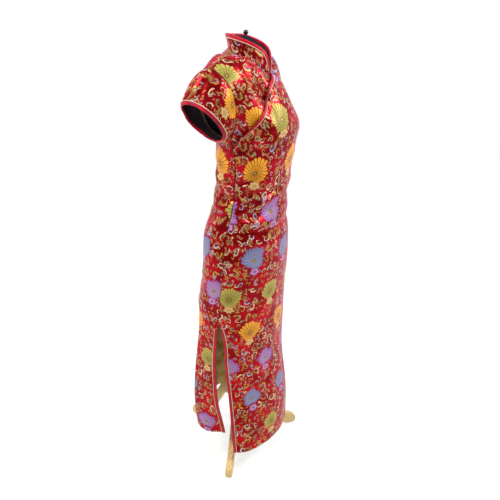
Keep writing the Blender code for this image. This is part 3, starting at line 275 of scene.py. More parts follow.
def unit(vectors):
    return vectors / np.maximum(np.linalg.norm(vectors, axis=-1, keepdims=True), 1e-12)


def run_length(points, axis=0):
    """How far along an axis of a grid of points each point lies."""
    steps = np.linalg.norm(np.diff(points, axis=axis), axis=-1)
    return np.concatenate([np.zeros_like(steps.take([0], axis)), np.cumsum(steps, axis)], axis)


section_at = natural_spline([-row[0] for row in SECTIONS], [row[1:] for row in SECTIONS])
slit_at = natural_spline([-row[0] for row in SLIT_EDGES], [row[1:] for row in SLIT_EDGES])
opening_at = natural_spline([row[0] for row in OPENING], [row[1:] for row in OPENING])
collar_top_at = natural_spline(
    [-row[0] for row in COLLAR_TOP[:0:-1]] + [row[0] for row in COLLAR_TOP],
    [(-row[1], *row[2:]) for row in COLLAR_TOP[:0:-1]] + [row[1:] for row in COLLAR_TOP],
)


def side_line(z):
    """The y of the widest place of the section at height z."""
    _, front, back = np.moveaxis(section_at(-z), -1, 0)
    level = (back - front) / 2
    lean = np.clip((z - 0.96) / (UNDERARM[2] - 0.96), 0, 1)
    return level + (UNDERARM[1] - level) * lean**2


def tube_points(angle, z):
    """Points of the skirt tube, at angles from the centre front towards the left."""
    half_width, front, back = np.moveaxis(section_at(-z), -1, 0)
    middle = side_line(z)
    s, c = np.sin(angle), np.cos(angle)
    depth = np.where(c > 0, -(front + middle), back - middle)
    across = half_width * np.sign(s) * abs(s) ** ROUND_POWER
    return np.stack([across, middle + depth * abs(c) ** ROUND_POWER, z + 0 * s], axis=-1)


def edge_angle(z, forward):
    """The angle of the point of a section that lies so far forward of its side line."""
    _, front, back = np.moveaxis(section_at(-z), -1, 0)
    middle = side_line(z)
    reach = np.where(forward > 0, front + middle, back - middle)
    return np.arccos(np.sign(forward) * np.clip(abs(forward) / reach, 0, 1) ** (1 / ROUND_POWER))


def fold_height(angle, z, folds):
    """How far the folds lift the skin at angles and heights."""
    total = np.zeros(np.broadcast(angle, z).shape)
    for at_angle, at_z, half_length, half_width, height, climb in folds:
        turn = (np.degrees(angle) - at_angle + 180) % 360 - 180
        round_body, up, slope = np.radians(turn) * BODY_RADIUS, z - at_z, math.radians(climb)
        along = round_body * math.cos(slope) + up * math.sin(slope)
        across = up * math.cos(slope) - round_body * math.sin(slope)
        # A crease wanders a little and is steeper on its lower side.
        across = across + 0.25 * half_width * np.sin(along / half_length * 2.3 + at_z * 40)
        total += height * np.exp(-((along / half_length) ** 2) - (across / half_width) ** 2)
    return total * np.clip((PATCH_Z - z) / 0.03, 0, 1)


# ---------------------------------------------------------------- the skin's sheets
def corners_of(grid):
    return np.stack([grid[:-1, :-1], grid[:-1, 1:], grid[1:, 1:], grid[1:, :-1]], axis=2)


class Sheet:
    """A piece of the skin, welded from grids of points that run upwards and to the
    wearer's left, each with its place on the flat cloth in metres."""

    def __init__(self, blocks):
        everything = np.concatenate([points.reshape(-1, 3) for points, _ in blocks.values()])
        keys = np.round(everything * 1e6).astype(np.int64)
        _, first, index = np.unique(keys, axis=0, return_index=True, return_inverse=True)
        index = index.reshape(-1)
        self.points = everything[first]
        self.names, quads, flats, start = {}, [], [], 0
        for name, (points, flat) in blocks.items():
            size = points.shape[0] * points.shape[1]
            self.names[name] = index[start:start + size].reshape(points.shape[:2])
            start += size
            quads.append(corners_of(self.names[name]).reshape(-1, 4))
            flats.append(corners_of(flat).reshape(-1, 4, 2))
        quads, flats = np.concatenate(quads), np.concatenate(flats)
        doubled = (quads == np.roll(quads, -1, axis=1)).sum(axis=1)
        whole = (doubled < 2) & (quads[:, 0] != quads[:, 2]) & (quads[:, 1] != quads[:, 3])
        self.quads, self.flats = quads[whole], flats[whole]
        ends = np.stack([self.quads, np.roll(self.quads, -1, axis=1)], axis=2).reshape(-1, 2)
        flats = np.stack([self.flats, np.roll(self.flats, -1, axis=1)], axis=2).reshape(-1, 2, 2)
        real = ends[:, 0] != ends[:, 1]
        ends, flats = ends[real], flats[real]
        _, index, count = np.unique(
            np.sort(ends, axis=1), axis=0, return_inverse=True, return_counts=True
        )
        border = count[index.reshape(-1)] == 1
        self.border, self.border_flats = ends[border], flats[border]

    def face_normals(self, points):
        corners = points[self.quads]
        normals = np.cross(corners[:, 2] - corners[:, 0], corners[:, 3] - corners[:, 1])
        total = np.zeros_like(points)
        for k in range(4):
            np.add.at(total, self.quads[:, k], normals)
        return total


def shared_normals(sheets, moved):
    """The normals of each sheet's moved points, the same on both sides of a seam."""
    where = np.concatenate([sheet.points for sheet in sheets])
    total = np.concatenate([sheet.face_normals(points) for sheet, points in zip(sheets, moved)])
    keys = np.round(where * 1e5).astype(np.int64)
    _, index = np.unique(keys, axis=0, return_inverse=True)
    index = index.reshape(-1)
    summed = np.zeros((index.max() + 1, 3))
    np.add.at(summed, index, total)
    normals = unit(summed[index])
    return np.split(normals, np.cumsum([len(sheet.points) for sheet in sheets])[:-1])


def creased(points):
    """How far the creases of the bodice and sleeves lift each point."""
    total = np.zeros(len(points))
    for start, end, half_width, height, on_right in CREASES:
        for side in (1, -1):
            a, b = from_pole(start) * (side, 1, 1), from_pole(end) * (side, 1, 1)
            if side < 0:
                b = b + RIGHT_CREASE_SHIFT
            along = b - a
            length = np.linalg.norm(along)
            share = (points - a) @ along / length**2
            off = np.linalg.norm(points - (a + np.clip(share, 0, 1)[:, None] * along), axis=1)
            taper = np.clip(np.minimum(share + 0.25, 1.25 - share) / 0.5, 0, 1)
            wave = 1 + 0.3 * np.sin(share * 5.0 + a[2] * 60)
            size = height * (on_right if side < 0 else 1.0)
            soft = np.exp(-((off / half_width) ** 2))
            total += size * wave * taper * taper * (3 - 2 * taper) * soft
    return total


class Cloth:
    """A cloth piece as it lies: the points of its outer face, and their normals."""

    def __init__(self, sheet, points, normals, lift=0.0, gap=SEAM_GAP):
        self.sheet, self.normals = sheet, normals
        start, end = sheet.border.T
        along = points[end] - points[start]
        inward = np.zeros_like(points)
        direction = unit(np.cross((normals[start] + normals[end]) / 2, along))
        np.add.at(inward, start, direction)
        np.add.at(inward, end, direction)
        size = np.linalg.norm(inward, axis=1)
        moving = size > 1e-6
        points = points.copy()
        reach = np.minimum(2.0 / size[moving], 1.6)
        half = np.broadcast_to(gap, len(points))[moving] / 2
        points[moving] += inward[moving] / size[moving, None] * (half * reach)[:, None]
        self.points = points + normals * np.reshape(lift, (-1, 1))
        self.points[moving] -= normals[moving] * SEAM_SINK

    def edge(self, lines):
        """An edge for a trim. Each line starts on the edge and goes inwards."""
        lines = np.asarray(lines)
        return Edge(self.points[lines], self.normals[lines])


class Edge:
    """The places along an edge, and the way the cloth runs in from each of them."""

    def __init__(self, places, normals):
        self.places, self.normals = places, normals
        self.depth = run_length(places, axis=1)
        self.inside = unit(places[:, 1] - places[:, 0])

    def at(self, u, v):
        """Points so far in from the edge and so far out of the cloth."""
        def spread(values):
            return np.array([
                [np.interp(u, depth, row[:, axis]) for axis in range(3)]
                for depth, row in zip(self.depth, values)
            ])
        places = spread(self.places) + self.inside * min(u, 0.0)
        return places + unit(spread(self.normals)) * v


# ---------------------------------------------------------------- the skin of the dress
def skirt_block(front, folded=True, bottom=None):
    """A skirt panel from the hem up, with the slits' edges as its sides."""
    bottom = (HEM_FRONT if front else HEM_BACK) if bottom is None else bottom
    lower = np.linspace(bottom, SLIT_TOP, max(2, round((SLIT_TOP - bottom) / ROW)))
    upper = np.linspace(SLIT_TOP, PATCH_Z, round((PATCH_Z - SLIT_TOP) / ROW))[1:]
    z = np.concatenate([lower, upper]) if bottom < SLIT_TOP else np.linspace(bottom, PATCH_Z, 70)
    forward, backward, curl = slit_at(-np.minimum(z, SLIT_TOP)).T
    end = np.where(z < SLIT_TOP, edge_angle(z, forward if front else backward), math.pi / 2)
    curl = np.where(z < SLIT_TOP, curl, 0.0)
    share = np.linspace(-1, 1, 2 * QUARTER + 1)
    angle = end[:, None] * share if front else math.pi + (math.pi - end)[:, None] * share
    height = z[:, None] + 0 * angle
    points = tube_points(angle, height)
    ahead = tube_points(angle + 0.01, height) - tube_points(angle - 0.01, height)
    outward = unit(np.stack([ahead[..., 1], -ahead[..., 0], 0 * angle], axis=-1))
    lift = 0 * angle
    if folded:
        lift = FOLD_STRENGTH * fold_height(angle, height, FOLDS)
        lift = lift + CRISPNESS * fold_height(angle, height, FINE_FOLDS)
    if not front:
        to_edge = SKIRT_RADIUS * np.minimum(abs(angle - angle[:, :1]), abs(angle - angle[:, -1:]))
        lift = lift - curl[:, None] * np.exp(-((to_edge / CURL_REACH) ** 2))
    points = from_pole(points + outward * lift[..., None])
    across = run_length(points, axis=1)
    flat = np.stack([across - across[:, QUARTER:QUARTER + 1], run_length(points)], axis=-1)
    return points, flat


class Bodice:
    """One quarter of the bodice: the patch between its seam lines on one side."""

    def __init__(self, front, side, skirt):
        self.front, self.side = front, side
        start = tube_points(np.full(2, 0.0 if front else math.pi), np.array((PATCH_Z, 1.04)))
        self.centre = curve_through([*start, *(CENTRE_FRONT if front else CENTRE_BACK)])
        self.armhole = curve_through(ARMHOLE_FRONT if front else ARMHOLE_BACK)
        self.neckline = curve_through(NECKLINE_FRONT if front else NECKLINE_BACK)
        self.shoulder = curve_through(SHOULDER_SEAM)
        line = self.centre(np.linspace(0, 1, 200))
        self.band = float(np.argmin(abs(line[:, 2] - UNDERARM[2]))) / 199
        self.notch = self.band * NOTCH_SHARE
        yoke = self.band + (1 - self.band) * np.arange(YOKE_ROWS + 1) / YOKE_ROWS
        self.low_rows = np.linspace(0, self.notch, 8)
        self.rows = np.concatenate([np.linspace(self.notch, self.band, 5)[:-1], yoke])
        self.shares = np.arange(QUARTER + 1) / QUARTER
        self.measure(skirt)

    def measure(self, skirt):
        """The place on the flat cloth at shares across and up."""
        self.table_rows = np.linspace(0, 1, 61)
        s, t = np.meshgrid(self.shares, self.table_rows)
        points = self.points(s, t)
        left = (self.side > 0) == self.front
        top = skirt[1][-1, QUARTER:] if left else skirt[1][-1, QUARTER::-1]
        across = run_length(points, axis=1) * (1 if left else -1)
        self.table = np.stack([across, run_length(points) + top[:, 1]], axis=-1)

    def flat(self, s, t):
        row = t * (len(self.table_rows) - 1)
        j = np.clip(row.astype(int), 0, len(self.table_rows) - 2)
        i = np.round(s * QUARTER).astype(int)
        part = (row - j)[..., None]
        return self.table[j, i] * (1 - part) + self.table[j + 1, i] * part

    def outer(self, t):
        z = PATCH_Z + (UNDERARM[2] - PATCH_Z) * np.clip(t / self.band, 0, 1)
        low = tube_points(np.full_like(z, math.pi / 2), z)
        high = self.armhole(np.clip((t - self.band) / (1 - self.band), 0, 1))
        return np.where((t <= self.band)[..., None], low, high)

    def bottom(self, s):
        angle = s * math.pi / 2
        return tube_points(angle if self.front else math.pi - angle, np.full_like(s, PATCH_Z))

    def top(self, s):
        corner = NECK_CELLS / QUARTER
        neck = self.neckline(np.clip(s / corner, 0, 1))
        shoulder = self.shoulder(np.clip((s - corner) / (1 - corner), 0, 1))
        return np.where((s <= corner + 1e-9)[..., None], neck, shoulder)

    def fullness(self, s, t, place):
        """How far the cloth rounds out over the form, beyond what the seams give."""
        inside = np.minimum(1.0, 4 * s * (1 - s))
        middle = 0.55 if self.front else 0.64
        high = np.exp(-(((s - middle) / 0.28) ** 2) - ((t - 0.91) / 0.17) ** 2)
        high = (high * inside * np.minimum(1.0, (1 - t) / 0.08))[..., None]
        if not self.front:
            return BACK_FULLNESS * high * np.array((0.05, 0.55, 0.83))
        off_x, off_z = place[..., 0] - BUST_AT[0], place[..., 2] - BUST_AT[1]
        low = np.exp(-((off_x / BUST_SIZE[0]) ** 2) - (off_z / BUST_SIZE[1]) ** 2)
        low = (low * inside * np.minimum(1.0, t / self.band))[..., None]
        chest = CHEST_FULLNESS * high * np.array((0.10, -0.78, 0.60))
        return chest + BUST_FULLNESS * low * np.array((0, -1, 0))

    def points(self, s, t):
        """The places at shares across and up, blended from the four seam lines."""
        s, t = np.broadcast_arrays(np.asarray(s, float), np.minimum(t, 1.0))
        a, b = s[..., None], t[..., None]
        ends = self.bottom(np.array((0.0, 1.0))), self.top(np.array((0.0, 1.0)))
        blend = (1 - b) * self.bottom(s) + b * self.top(s)
        blend = blend + (1 - a) * self.centre(t) + a * self.outer(t)
        blend = blend - (1 - b) * ((1 - a) * ends[0][0] + a * ends[0][1])
        blend = blend - b * ((1 - a) * ends[1][0] + a * ends[1][1])
        return from_pole((blend + self.fullness(s, t, blend)) * (self.side, 1, 1))

    def block(self, rows, shares=None):
        """A grid at rows given as shares up or as functions of the share across."""
        s = self.shares if shares is None else shares
        t = np.array([row(s) if callable(row) else np.full_like(s, row) for row in rows])
        s = np.broadcast_to(s, t.shape)
        points, flat = self.points(s, t), self.flat(s, t)
        if (self.side > 0) != self.front:
            points, flat = points[:, ::-1], flat[:, ::-1]
        return points, flat

    def whole(self):
        return self.block([*self.low_rows, *self.rows[1:]])


def opening_share(s, notch):
    """How far up the right front the opening's edge runs."""
    edge = np.clip(opening_at(s)[..., 0], notch, 1.0)
    return np.where(s <= 0, 1.0, np.where(s >= 1, notch, edge))


def lapel_rows(quarter):
    """Rows of the big front from the notch up to the opening's edge."""
    low = quarter.notch
    return [
        lambda s, share=(height - low) / (1 - low): low + (opening_share(s, low) - low) * share
        for height in quarter.rows
    ]


def under_rows(quarter):
    """Rows of the under front from the opening's edge up to the shoulder."""
    low = quarter.notch
    return [
        lambda s, share=(height - low) / (1 - low): opening_share(s, low) * (1 - share) + share
        for height in quarter.rows
    ]


def armhole_ring(quarters, side):
    """The armhole's points from the underarm up the front and down the back."""
    up, down = (
        quarters[front, side].points(1.0, quarters[front, side].rows[4:]) for front in (True, False)
    )
    return np.concatenate([up, down[-2::-1]])


def cuff_ring(ring, side):
    """The cuff's points, each straight out from its point of the armhole."""
    ring = (ring - from_pole((0, 0, 0))) * (side, 1, 1)
    middle = ring[:-1].mean(axis=0)
    turns = np.linspace(0, 2 * math.pi, 721)
    out, back = np.array(CUFF_OUT), np.array(CUFF_BACK)
    arms = -np.cos(turns)[:, None] * out - np.sin(turns)[:, None] * back
    ways = np.unwrap(np.arctan2(-arms[:, 1], -arms[:, 2]))
    wanted = np.unwrap(np.arctan2(-(ring - middle)[:, 1], -(ring - middle)[:, 2]))
    wanted += 2 * math.pi * np.round((ways.mean() - wanted.mean()) / (2 * math.pi))
    full = np.concatenate([turns - 2 * math.pi, turns, turns + 2 * math.pi])
    around = np.concatenate([ways - 2 * math.pi, ways, ways + 2 * math.pi])
    found = np.interp(wanted, around, full)
    cuff = np.array(CUFF_MIDDLE) - np.cos(found)[:, None] * out - np.sin(found)[:, None] * back
    return from_pole(cuff * (side, 1, 1))


def sleeve_block(quarters, side):
    """A short sleeve from the armhole out to the cuff, rounded over the shoulder."""
    ring = armhole_ring(quarters, side)
    cuff = cuff_ring(ring, side)
    middles = (ring + cuff) / 2
    away = middles - middles[:-1].mean(axis=0)
    away[:, 0] *= 0.5
    away = unit(away)
    rounding = CAP_ROUNDING * (1 + 0.7 * away[:, 2] - 0.45 * away[:, 1])
    bent = middles + away * 2 * rounding[:, None]
    r = np.linspace(0, 1, SLEEVE_ROWS + 1)[:, None, None]
    block = ring * (1 - r) ** 2 + 2 * bent * r * (1 - r) + cuff * r**2
    block[0], block[:, -1] = ring, block[:, 0]
    block = block[:, ::-1] if side > 0 else block
    return block, np.stack([run_length(block, axis=1), -run_length(block)], axis=-1)


def neckline_ring(quarters):
    """The neckline from the left front end round the back to the right front end."""
    s = np.arange(NECK_CELLS + 1) / QUARTER
    parts = [quarters[True, 1].points(s, 1.0), quarters[False, 1].points(s[-2::-1], 1.0),
             quarters[False, -1].points(s[1:], 1.0), quarters[True, -1].points(s[-2::-1], 1.0)]
    return np.concatenate(parts)


def collar_place(ring, c, share):
    """A place on the collar before its corners are cut off, at a share of its height."""
    along = (1 - c) * (len(ring) - 1) / 2
    k = np.clip(along.astype(int), 0, len(ring) - 2)
    base = ring[k] + (ring[k + 1] - ring[k]) * (along - k)[..., None]
    share = share[..., None]
    return base * (1 - share) + from_pole(collar_top_at(c)) * share


def collar_height(c):
    u = np.clip((abs(c) - COLLAR_END + COLLAR_CORNER) / COLLAR_CORNER, 0, 0.999)
    return COLLAR_CORNER_FOOT + (1 - COLLAR_CORNER_FOOT) * np.sqrt(1 - u * u)


def cut_collar(quarters):
    ring = neckline_ring(quarters)
    turn = np.linspace(0, math.pi / 2, 15)
    end = COLLAR_END - COLLAR_CORNER * (1 - np.sin(turn[::-1]))
    columns = np.concatenate([end, np.linspace(COLLAR_END - COLLAR_CORNER, 0, 40)[1:]])
    columns = np.concatenate([columns, -columns[-2::-1]])
    c, h = np.meshgrid(columns, np.linspace(0, 1, 11))
    points = collar_place(ring, c, h * collar_height(c))
    flat = np.stack([run_length(points, axis=1), run_length(points)], axis=-1)
    sheet = Sheet({"collar": (points, flat)})
    return Cloth(sheet, sheet.points, shared_normals([sheet], [sheet.points])[0])


def opening_lift(sheet, right):
    """How far each point of a front stands off the skin, beside the opening."""
    lift = np.zeros(len(sheet.points))
    rows_of = {"lapel": lapel_rows(right), "tuck": None, "yoke": under_rows(right)}
    for name, rows in rows_of.items():
        if name not in sheet.names:
            continue
        names = sheet.names[name]
        s = right.shares[::-1] if name != "tuck" else right.shares[-2:0:-1]
        away = np.zeros(names.shape)
        if rows:
            away = abs(np.array([row(s) for row in rows]) - opening_share(s, right.notch))
        strength = np.clip(np.minimum(s / 0.06, (1 - s) / 0.05), 0, 1)
        fade = np.cos(math.pi / 2 * np.minimum(1.0, away / LIFT_REACH)) ** 2
        strength = strength * (1 + LOW_GAPE * np.clip((s - 0.55) / 0.35, 0, 1))
        lift[names] = (LIFT if name == "lapel" else -SINK) * strength * fade
    return lift


def side_gap(points):
    """How much wider the seam gapes down the right side, most of all along the zip."""
    x, _, z = points.T
    seam = (x < -0.11) & (z > SLIT_TOP) & (z < UNDERARM[2])
    middle, half = (ZIP_TOP + ZIP_BOTTOM) / 2, (ZIP_TOP - ZIP_BOTTOM) / 2
    along_zip = np.clip((half - abs(z - middle)) / 0.03, 0, 1)
    return seam * (SIDE_GAP + ZIP_GAP * along_zip)


@functools.lru_cache(maxsize=1)
def cut_dress():
    """Every cloth piece of the dress as it lies, and the patches they are cut from."""
    skirts = {front: skirt_block(front) for front in (True, False)}
    quarters = {
        (front, side): Bodice(front, side, skirts[front])
        for front in (True, False) for side in (-1, 1)
    }
    right = quarters[True, -1]
    edge = lapel_rows(right)[-1]
    tuck = [lambda s, down=down: edge(s) - TUCK_SHARE * down for down in np.linspace(1, 0, 5)]
    sheets = {
        "front_panel": Sheet({
            "skirt": skirts[True],
            "left_bodice": quarters[True, 1].whole(),
            "right_band": right.block(right.low_rows),
            "lapel": right.block(lapel_rows(right)),
        }),
        "back_panel": Sheet({
            "skirt": skirts[False],
            "left_bodice": quarters[False, 1].whole(),
            "right_bodice": quarters[False, -1].whole(),
        }),
        "under_front": Sheet({
            "tuck": right.block(tuck, right.shares[1:-1]),
            "yoke": right.block(under_rows(right)),
        }),
        "sleeve_right": Sheet({"sleeve": sleeve_block(quarters, -1)}),
        "sleeve_left": Sheet({"sleeve": sleeve_block(quarters, 1)}),
    }
    order = list(sheets.values())
    plain = [sheet.points for sheet in order]
    moved = [
        points + normals * creased(points)[:, None]
        for points, normals in zip(plain, shared_normals(order, plain))
    ]
    cloths = {}
    for name, points, normals in zip(sheets, moved, shared_normals(order, moved)):
        gap = SLEEVE_GAP if name.startswith("sleeve") else SEAM_GAP + side_gap(points)
        cloths[name] = Cloth(sheets[name], points, normals, opening_lift(sheets[name], right), gap)
    cloths["collar"] = cut_collar(quarters)
    return cloths, quarters


# ---------------------------------------------------------------- making objects
def add_object(name, mesh, materials, replaced=(), angle=50):
    """Links a mesh as a piece of the object, standing for its solids."""
    for material in materials:
        mesh.materials.append(material)
    mesh.shade_smooth()
    mesh.set_sharp_from_angle(angle=math.radians(angle))
    piece = bpy.data.objects.new(name, mesh)
    bpy.context.scene.collection.objects.link(piece)
    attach(piece, "root")
    if replaced:
        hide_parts(*replaced)
    return piece


def mesh_from(name, points, faces, flats=None):
    """A mesh, with its faces' places on the flat cloth if they are given."""
    mesh = bpy.data.meshes.new(name)
    mesh.from_pydata(np.asarray(points).tolist(), [], faces)
    if flats is not None:
        layer = mesh.uv_layers.new(name="UVMap")
        layer.data.foreach_set("uv", np.concatenate(flats).astype(np.float32).ravel())
    mesh.update()
    return mesh


def without_doubles(quads, flats):
    faces, places = [], []
    for quad, flat in zip(quads.tolist(), flats):
        kept = [k for k in range(4) if quad[k] != quad[k - 1]]
        faces.append([quad[k] for k in kept])
        places.append(flat[kept])
    return faces, places


def on_pattern(name, flats):
    """Where the flat cloth lies on the woven pattern, which is drawn out up the bodice."""
    placed = flats + np.array(PATTERN_START[name])
    if name in DRAWN_OUT:
        placed[..., 1] -= DRAWN_SHARE * np.maximum(flats[..., 1] - DRAWN_FROM, 0.0)
    return placed


def add_wall(name, cloth, thickness, materials):
    """A cloth piece with its right side, its wrong side and its raw edge."""
    sheet, count = cloth.sheet, len(cloth.points)
    inner = cloth.points - cloth.normals * thickness
    flats = on_pattern(name, sheet.flats)
    outside, outside_flats = without_doubles(sheet.quads, flats)
    turned = [0, 3, 2, 1]
    inside, inside_flats = without_doubles(sheet.quads[:, turned] + count, flats[:, turned])
    start, end = sheet.border.T
    rim = np.stack([end, start, count + start, count + end], axis=1)
    rim_flats = on_pattern(name, sheet.border_flats[:, [1, 0, 0, 1]])
    faces = outside + inside + rim.tolist()
    mesh = mesh_from(name, np.concatenate([cloth.points, inner]), faces,
                     [*outside_flats, *inside_flats, *rim_flats])
    kinds = np.repeat([0, 1, 2], [len(outside), len(inside), len(rim)])
    mesh.polygons.foreach_set("material_index", kinds.astype(np.int32))
    return add_object(f"{name}_cloth", mesh, materials, (name,))


def swept(name, edge, profile, closed=False):
    """A trim's mesh: its profile, so far in and so far out, run along an edge."""
    rings = np.stack([edge.at(u, v) for u, v in profile], axis=1)
    count, size = rings.shape[:2]
    along = run_length(rings[:, :1], axis=0)[:, 0]
    around = np.concatenate([[0], np.cumsum(np.hypot(*np.diff([*profile, profile[0]], axis=0).T))])
    step = np.linalg.norm(rings[0, 0] - rings[-1, 0])
    along = np.append(along, along[-1] + step)
    faces, flats = [], []
    for j in range(count if closed else count - 1):
        near, far = j * size, ((j + 1) % count) * size
        for k in range(size):
            after = (k + 1) % size
            faces.append([near + k, near + after, far + after, far + k])
            flats.append(np.array([(along[j], around[k]), (along[j], around[k + 1]),
                                   (along[j + 1], around[k + 1]), (along[j + 1], around[k])]))
    if not closed:
        for start in (0, size * (count - 1)):
            faces.append(list(range(start, start + size))[::1 if start else -1])
            flats.append(np.zeros((size, 2)))
    mesh = mesh_from(name, rings.reshape(-1, 3), faces, flats)
    return faced_outwards(mesh)


def faced_outwards(mesh):
    shape = bmesh.new()
    shape.from_mesh(mesh)
    bmesh.ops.recalc_face_normals(shape, faces=shape.faces)
    shape.to_mesh(mesh)
    shape.free()
    return mesh


def spun_faces(rows, steps):
    """Faces round rings of points, which are followed by the top and the bottom point."""
    faces = []
    for k in range(steps):
        after = (k + 1) % steps
        faces.append([rows * steps, k, after])
        faces.append([rows * steps + 1, (rows - 1) * steps + after, (rows - 1) * steps + k])
        for j in range(rows - 1):
            low, high = j * steps, (j + 1) * steps
            faces.append([low + k, high + k, high + after, low + after])
    return faces


def turned(name, profile, centre, steps=48):
    """A turned piece: radii and heights down its outer side, spun on a vertical axis."""
    profile = np.array(profile)
    turns = np.linspace(0, 2 * math.pi, steps, endpoint=False)
    radius, height = profile[1:-1, :1], profile[1:-1, 1:]
    rings = np.stack(
        [radius * np.cos(turns), radius * np.sin(turns), height + 0 * turns], axis=-1)
    points = [*rings.reshape(-1, 3), (0, 0, profile[0][1]), (0, 0, profile[-1][1])]
    faces = spun_faces(len(radius), steps)
    mesh = mesh_from(name, from_pole(np.array(points) + (*centre, 0)), faces)
    mark_grain(mesh, np.array(points)[:, [2, 0, 1]])
    return faced_outwards(mesh)


def mark_grain(mesh, places):
    """Keeps each point's place along, across and through its piece of wood."""
    grain = mesh.attributes.new("grain", "FLOAT_VECTOR", "POINT")
    grain.data.foreach_set("vector", places.astype(np.float32).ravel())


def rounded_binding(width, wall):
    """A soft strip folded round an edge, its two ends lying on the cloth."""
    over = TRIM_GAP + BINDING_CLOTH
    middle, half = -wall / 2, wall / 2 + TRIM_GAP
    outer = half + BINDING_CLOTH
    profile = [(width, TRIM_GAP), (width * 0.5, TRIM_GAP), (0.0006, TRIM_GAP)]
    profile += [(0.0004 - half * 0.5 * math.sin(a), middle + half * math.cos(a))
                for a in (0.8, 1.57, 2.34)]
    profile += [(0.0006, -wall - TRIM_GAP), (width, -wall - TRIM_GAP), (width, -wall - over)]
    profile += [(width * 0.6, -wall - over - 0.0001), (0.0010, -wall - over)]
    profile += [(0.0008 - outer * 0.75 * math.sin(a), middle + outer * math.cos(a))
                for a in (2.6, 2.1, 1.57, 1.04, 0.54)]
    profile += [(0.0010, over), (width * 0.3, over + 0.00015), (width * 0.65, over + 0.00015),
                (width * 0.93, over), (width, over - 0.0003)]
    return profile


def cord_profile(middle, height, size, sides=10):
    turns = [2 * math.pi * (k + 0.5) / sides for k in range(sides)]
    radius = size / 2
    return [(middle + radius * math.cos(turn), height + radius * math.sin(turn)) for turn in turns]


# ---------------------------------------------------------------- the trims' edges
def opening_edge(cloth):
    """Along the big front's edge from the side up, short of both of its ends."""
    lapel, band = cloth.sheet.names["lapel"], cloth.sheet.names["right_band"]
    names = np.concatenate([band[:-1], lapel])
    return cloth.edge([names[::-1, i] for i in range(1, QUARTER - 1)])


def collar_edge(cloth):
    """Up the collar's left end, along its top and down its right end."""
    names = cloth.sheet.names["collar"]
    border = [*names[:, 0], *names[-1, 1:], *names[-2::-1, -1]]
    edge, normals = cloth.points[border], cloth.normals[border]
    along = unit(np.gradient(edge, axis=0))
    inside = unit(np.cross(along, normals))
    middle = cloth.points.mean(axis=0)
    if np.sum(inside[len(names) + 40] * (middle - edge[len(names) + 40])) < 0:
        inside = -inside
    for _ in range(3):
        inside[1:-1] = unit(inside[:-2] + inside[1:-1] + inside[2:])
    edge[0] += along[0] * COLLAR_FOOT_GAP * 0.7
    edge[-1] -= along[-1] * COLLAR_FOOT_GAP * 0.7
    places = np.stack([edge, edge + inside * COLLAR_EDGE_DEPTH], axis=1)
    return Edge(places, np.stack([normals, normals], axis=1))


def cuff_edge(cloth):
    names = cloth.sheet.names["sleeve"]
    return cloth.edge([names[::-1, i][:8] for i in range(names.shape[1] - 1)])


def slit_edge(cloth, side, front):
    """Up one of a panel's slit edges, from the hem to where its bindings start."""
    names = cloth.sheet.names["skirt"]
    lines = names if (side < 0) == front else names[:, ::-1]
    kept = cloth.points[lines[:, 0], 2] <= BINDING_TOP
    return cloth.edge(lines[kept, :7])


def bound_edges():
    """Each edge that has a binding: the edge, its wall and whether it closes on itself."""
    cloths, _ = cut_dress()
    edges = {
        "collar": (collar_edge(cloths["collar"]), COLLAR_WALL, False),
        "opening": (opening_edge(cloths["front_panel"]), WALL, False),
        "cuff_right": (cuff_edge(cloths["sleeve_right"]), WALL, True),
        "cuff_left": (cuff_edge(cloths["sleeve_left"]), WALL, True),
    }
    for panel in ("front", "back"):
        for side, word in ((-1, "right"), (1, "left")):
            edge = slit_edge(cloths[f"{panel}_panel"], side, panel == "front")
            edges[f"slit_{word}_{panel}"] = (edge, WALL, False)
    return edges


# ---------------------------------------------------------------- shader maths
class Num:
    """A shader socket that takes part in sums."""

    def __init__(self, shader, socket):
        self.shader, self.socket = shader, socket

    def __add__(self, other): return self.shader.maths("ADD", self, other)
    __radd__ = __add__
    def __sub__(self, other): return self.shader.maths("SUBTRACT", self, other)
    def __rsub__(self, other): return self.shader.maths("SUBTRACT", other, self)
    def __mul__(self, other): return self.shader.maths("MULTIPLY", self, other)
    __rmul__ = __mul__
    def __truediv__(self, other): return self.shader.maths("DIVIDE", self, other)
    def floor(self): return self.shader.maths("FLOOR", self)
    def fract(self): return self.shader.maths("FRACT", self)
    def abs(self): return self.shader.maths("ABSOLUTE", self)
    def sin(self): return self.shader.maths("SINE", self)
    def cos(self): return self.shader.maths("COSINE", self)
    def root(self): return self.shader.maths("SQRT", self)
    def most(self, other): return self.shader.maths("MAXIMUM", self, other)

    def step(self, start, end):
        """0 before the start and 1 beyond the end, smooth between them."""
        return self.shader.node(
            "MapRange", settings={"interpolation_type": "SMOOTHSTEP"},
            inputs={0: self, 1: start, 2: end, 3: 0.0, 4: 1.0},
        )


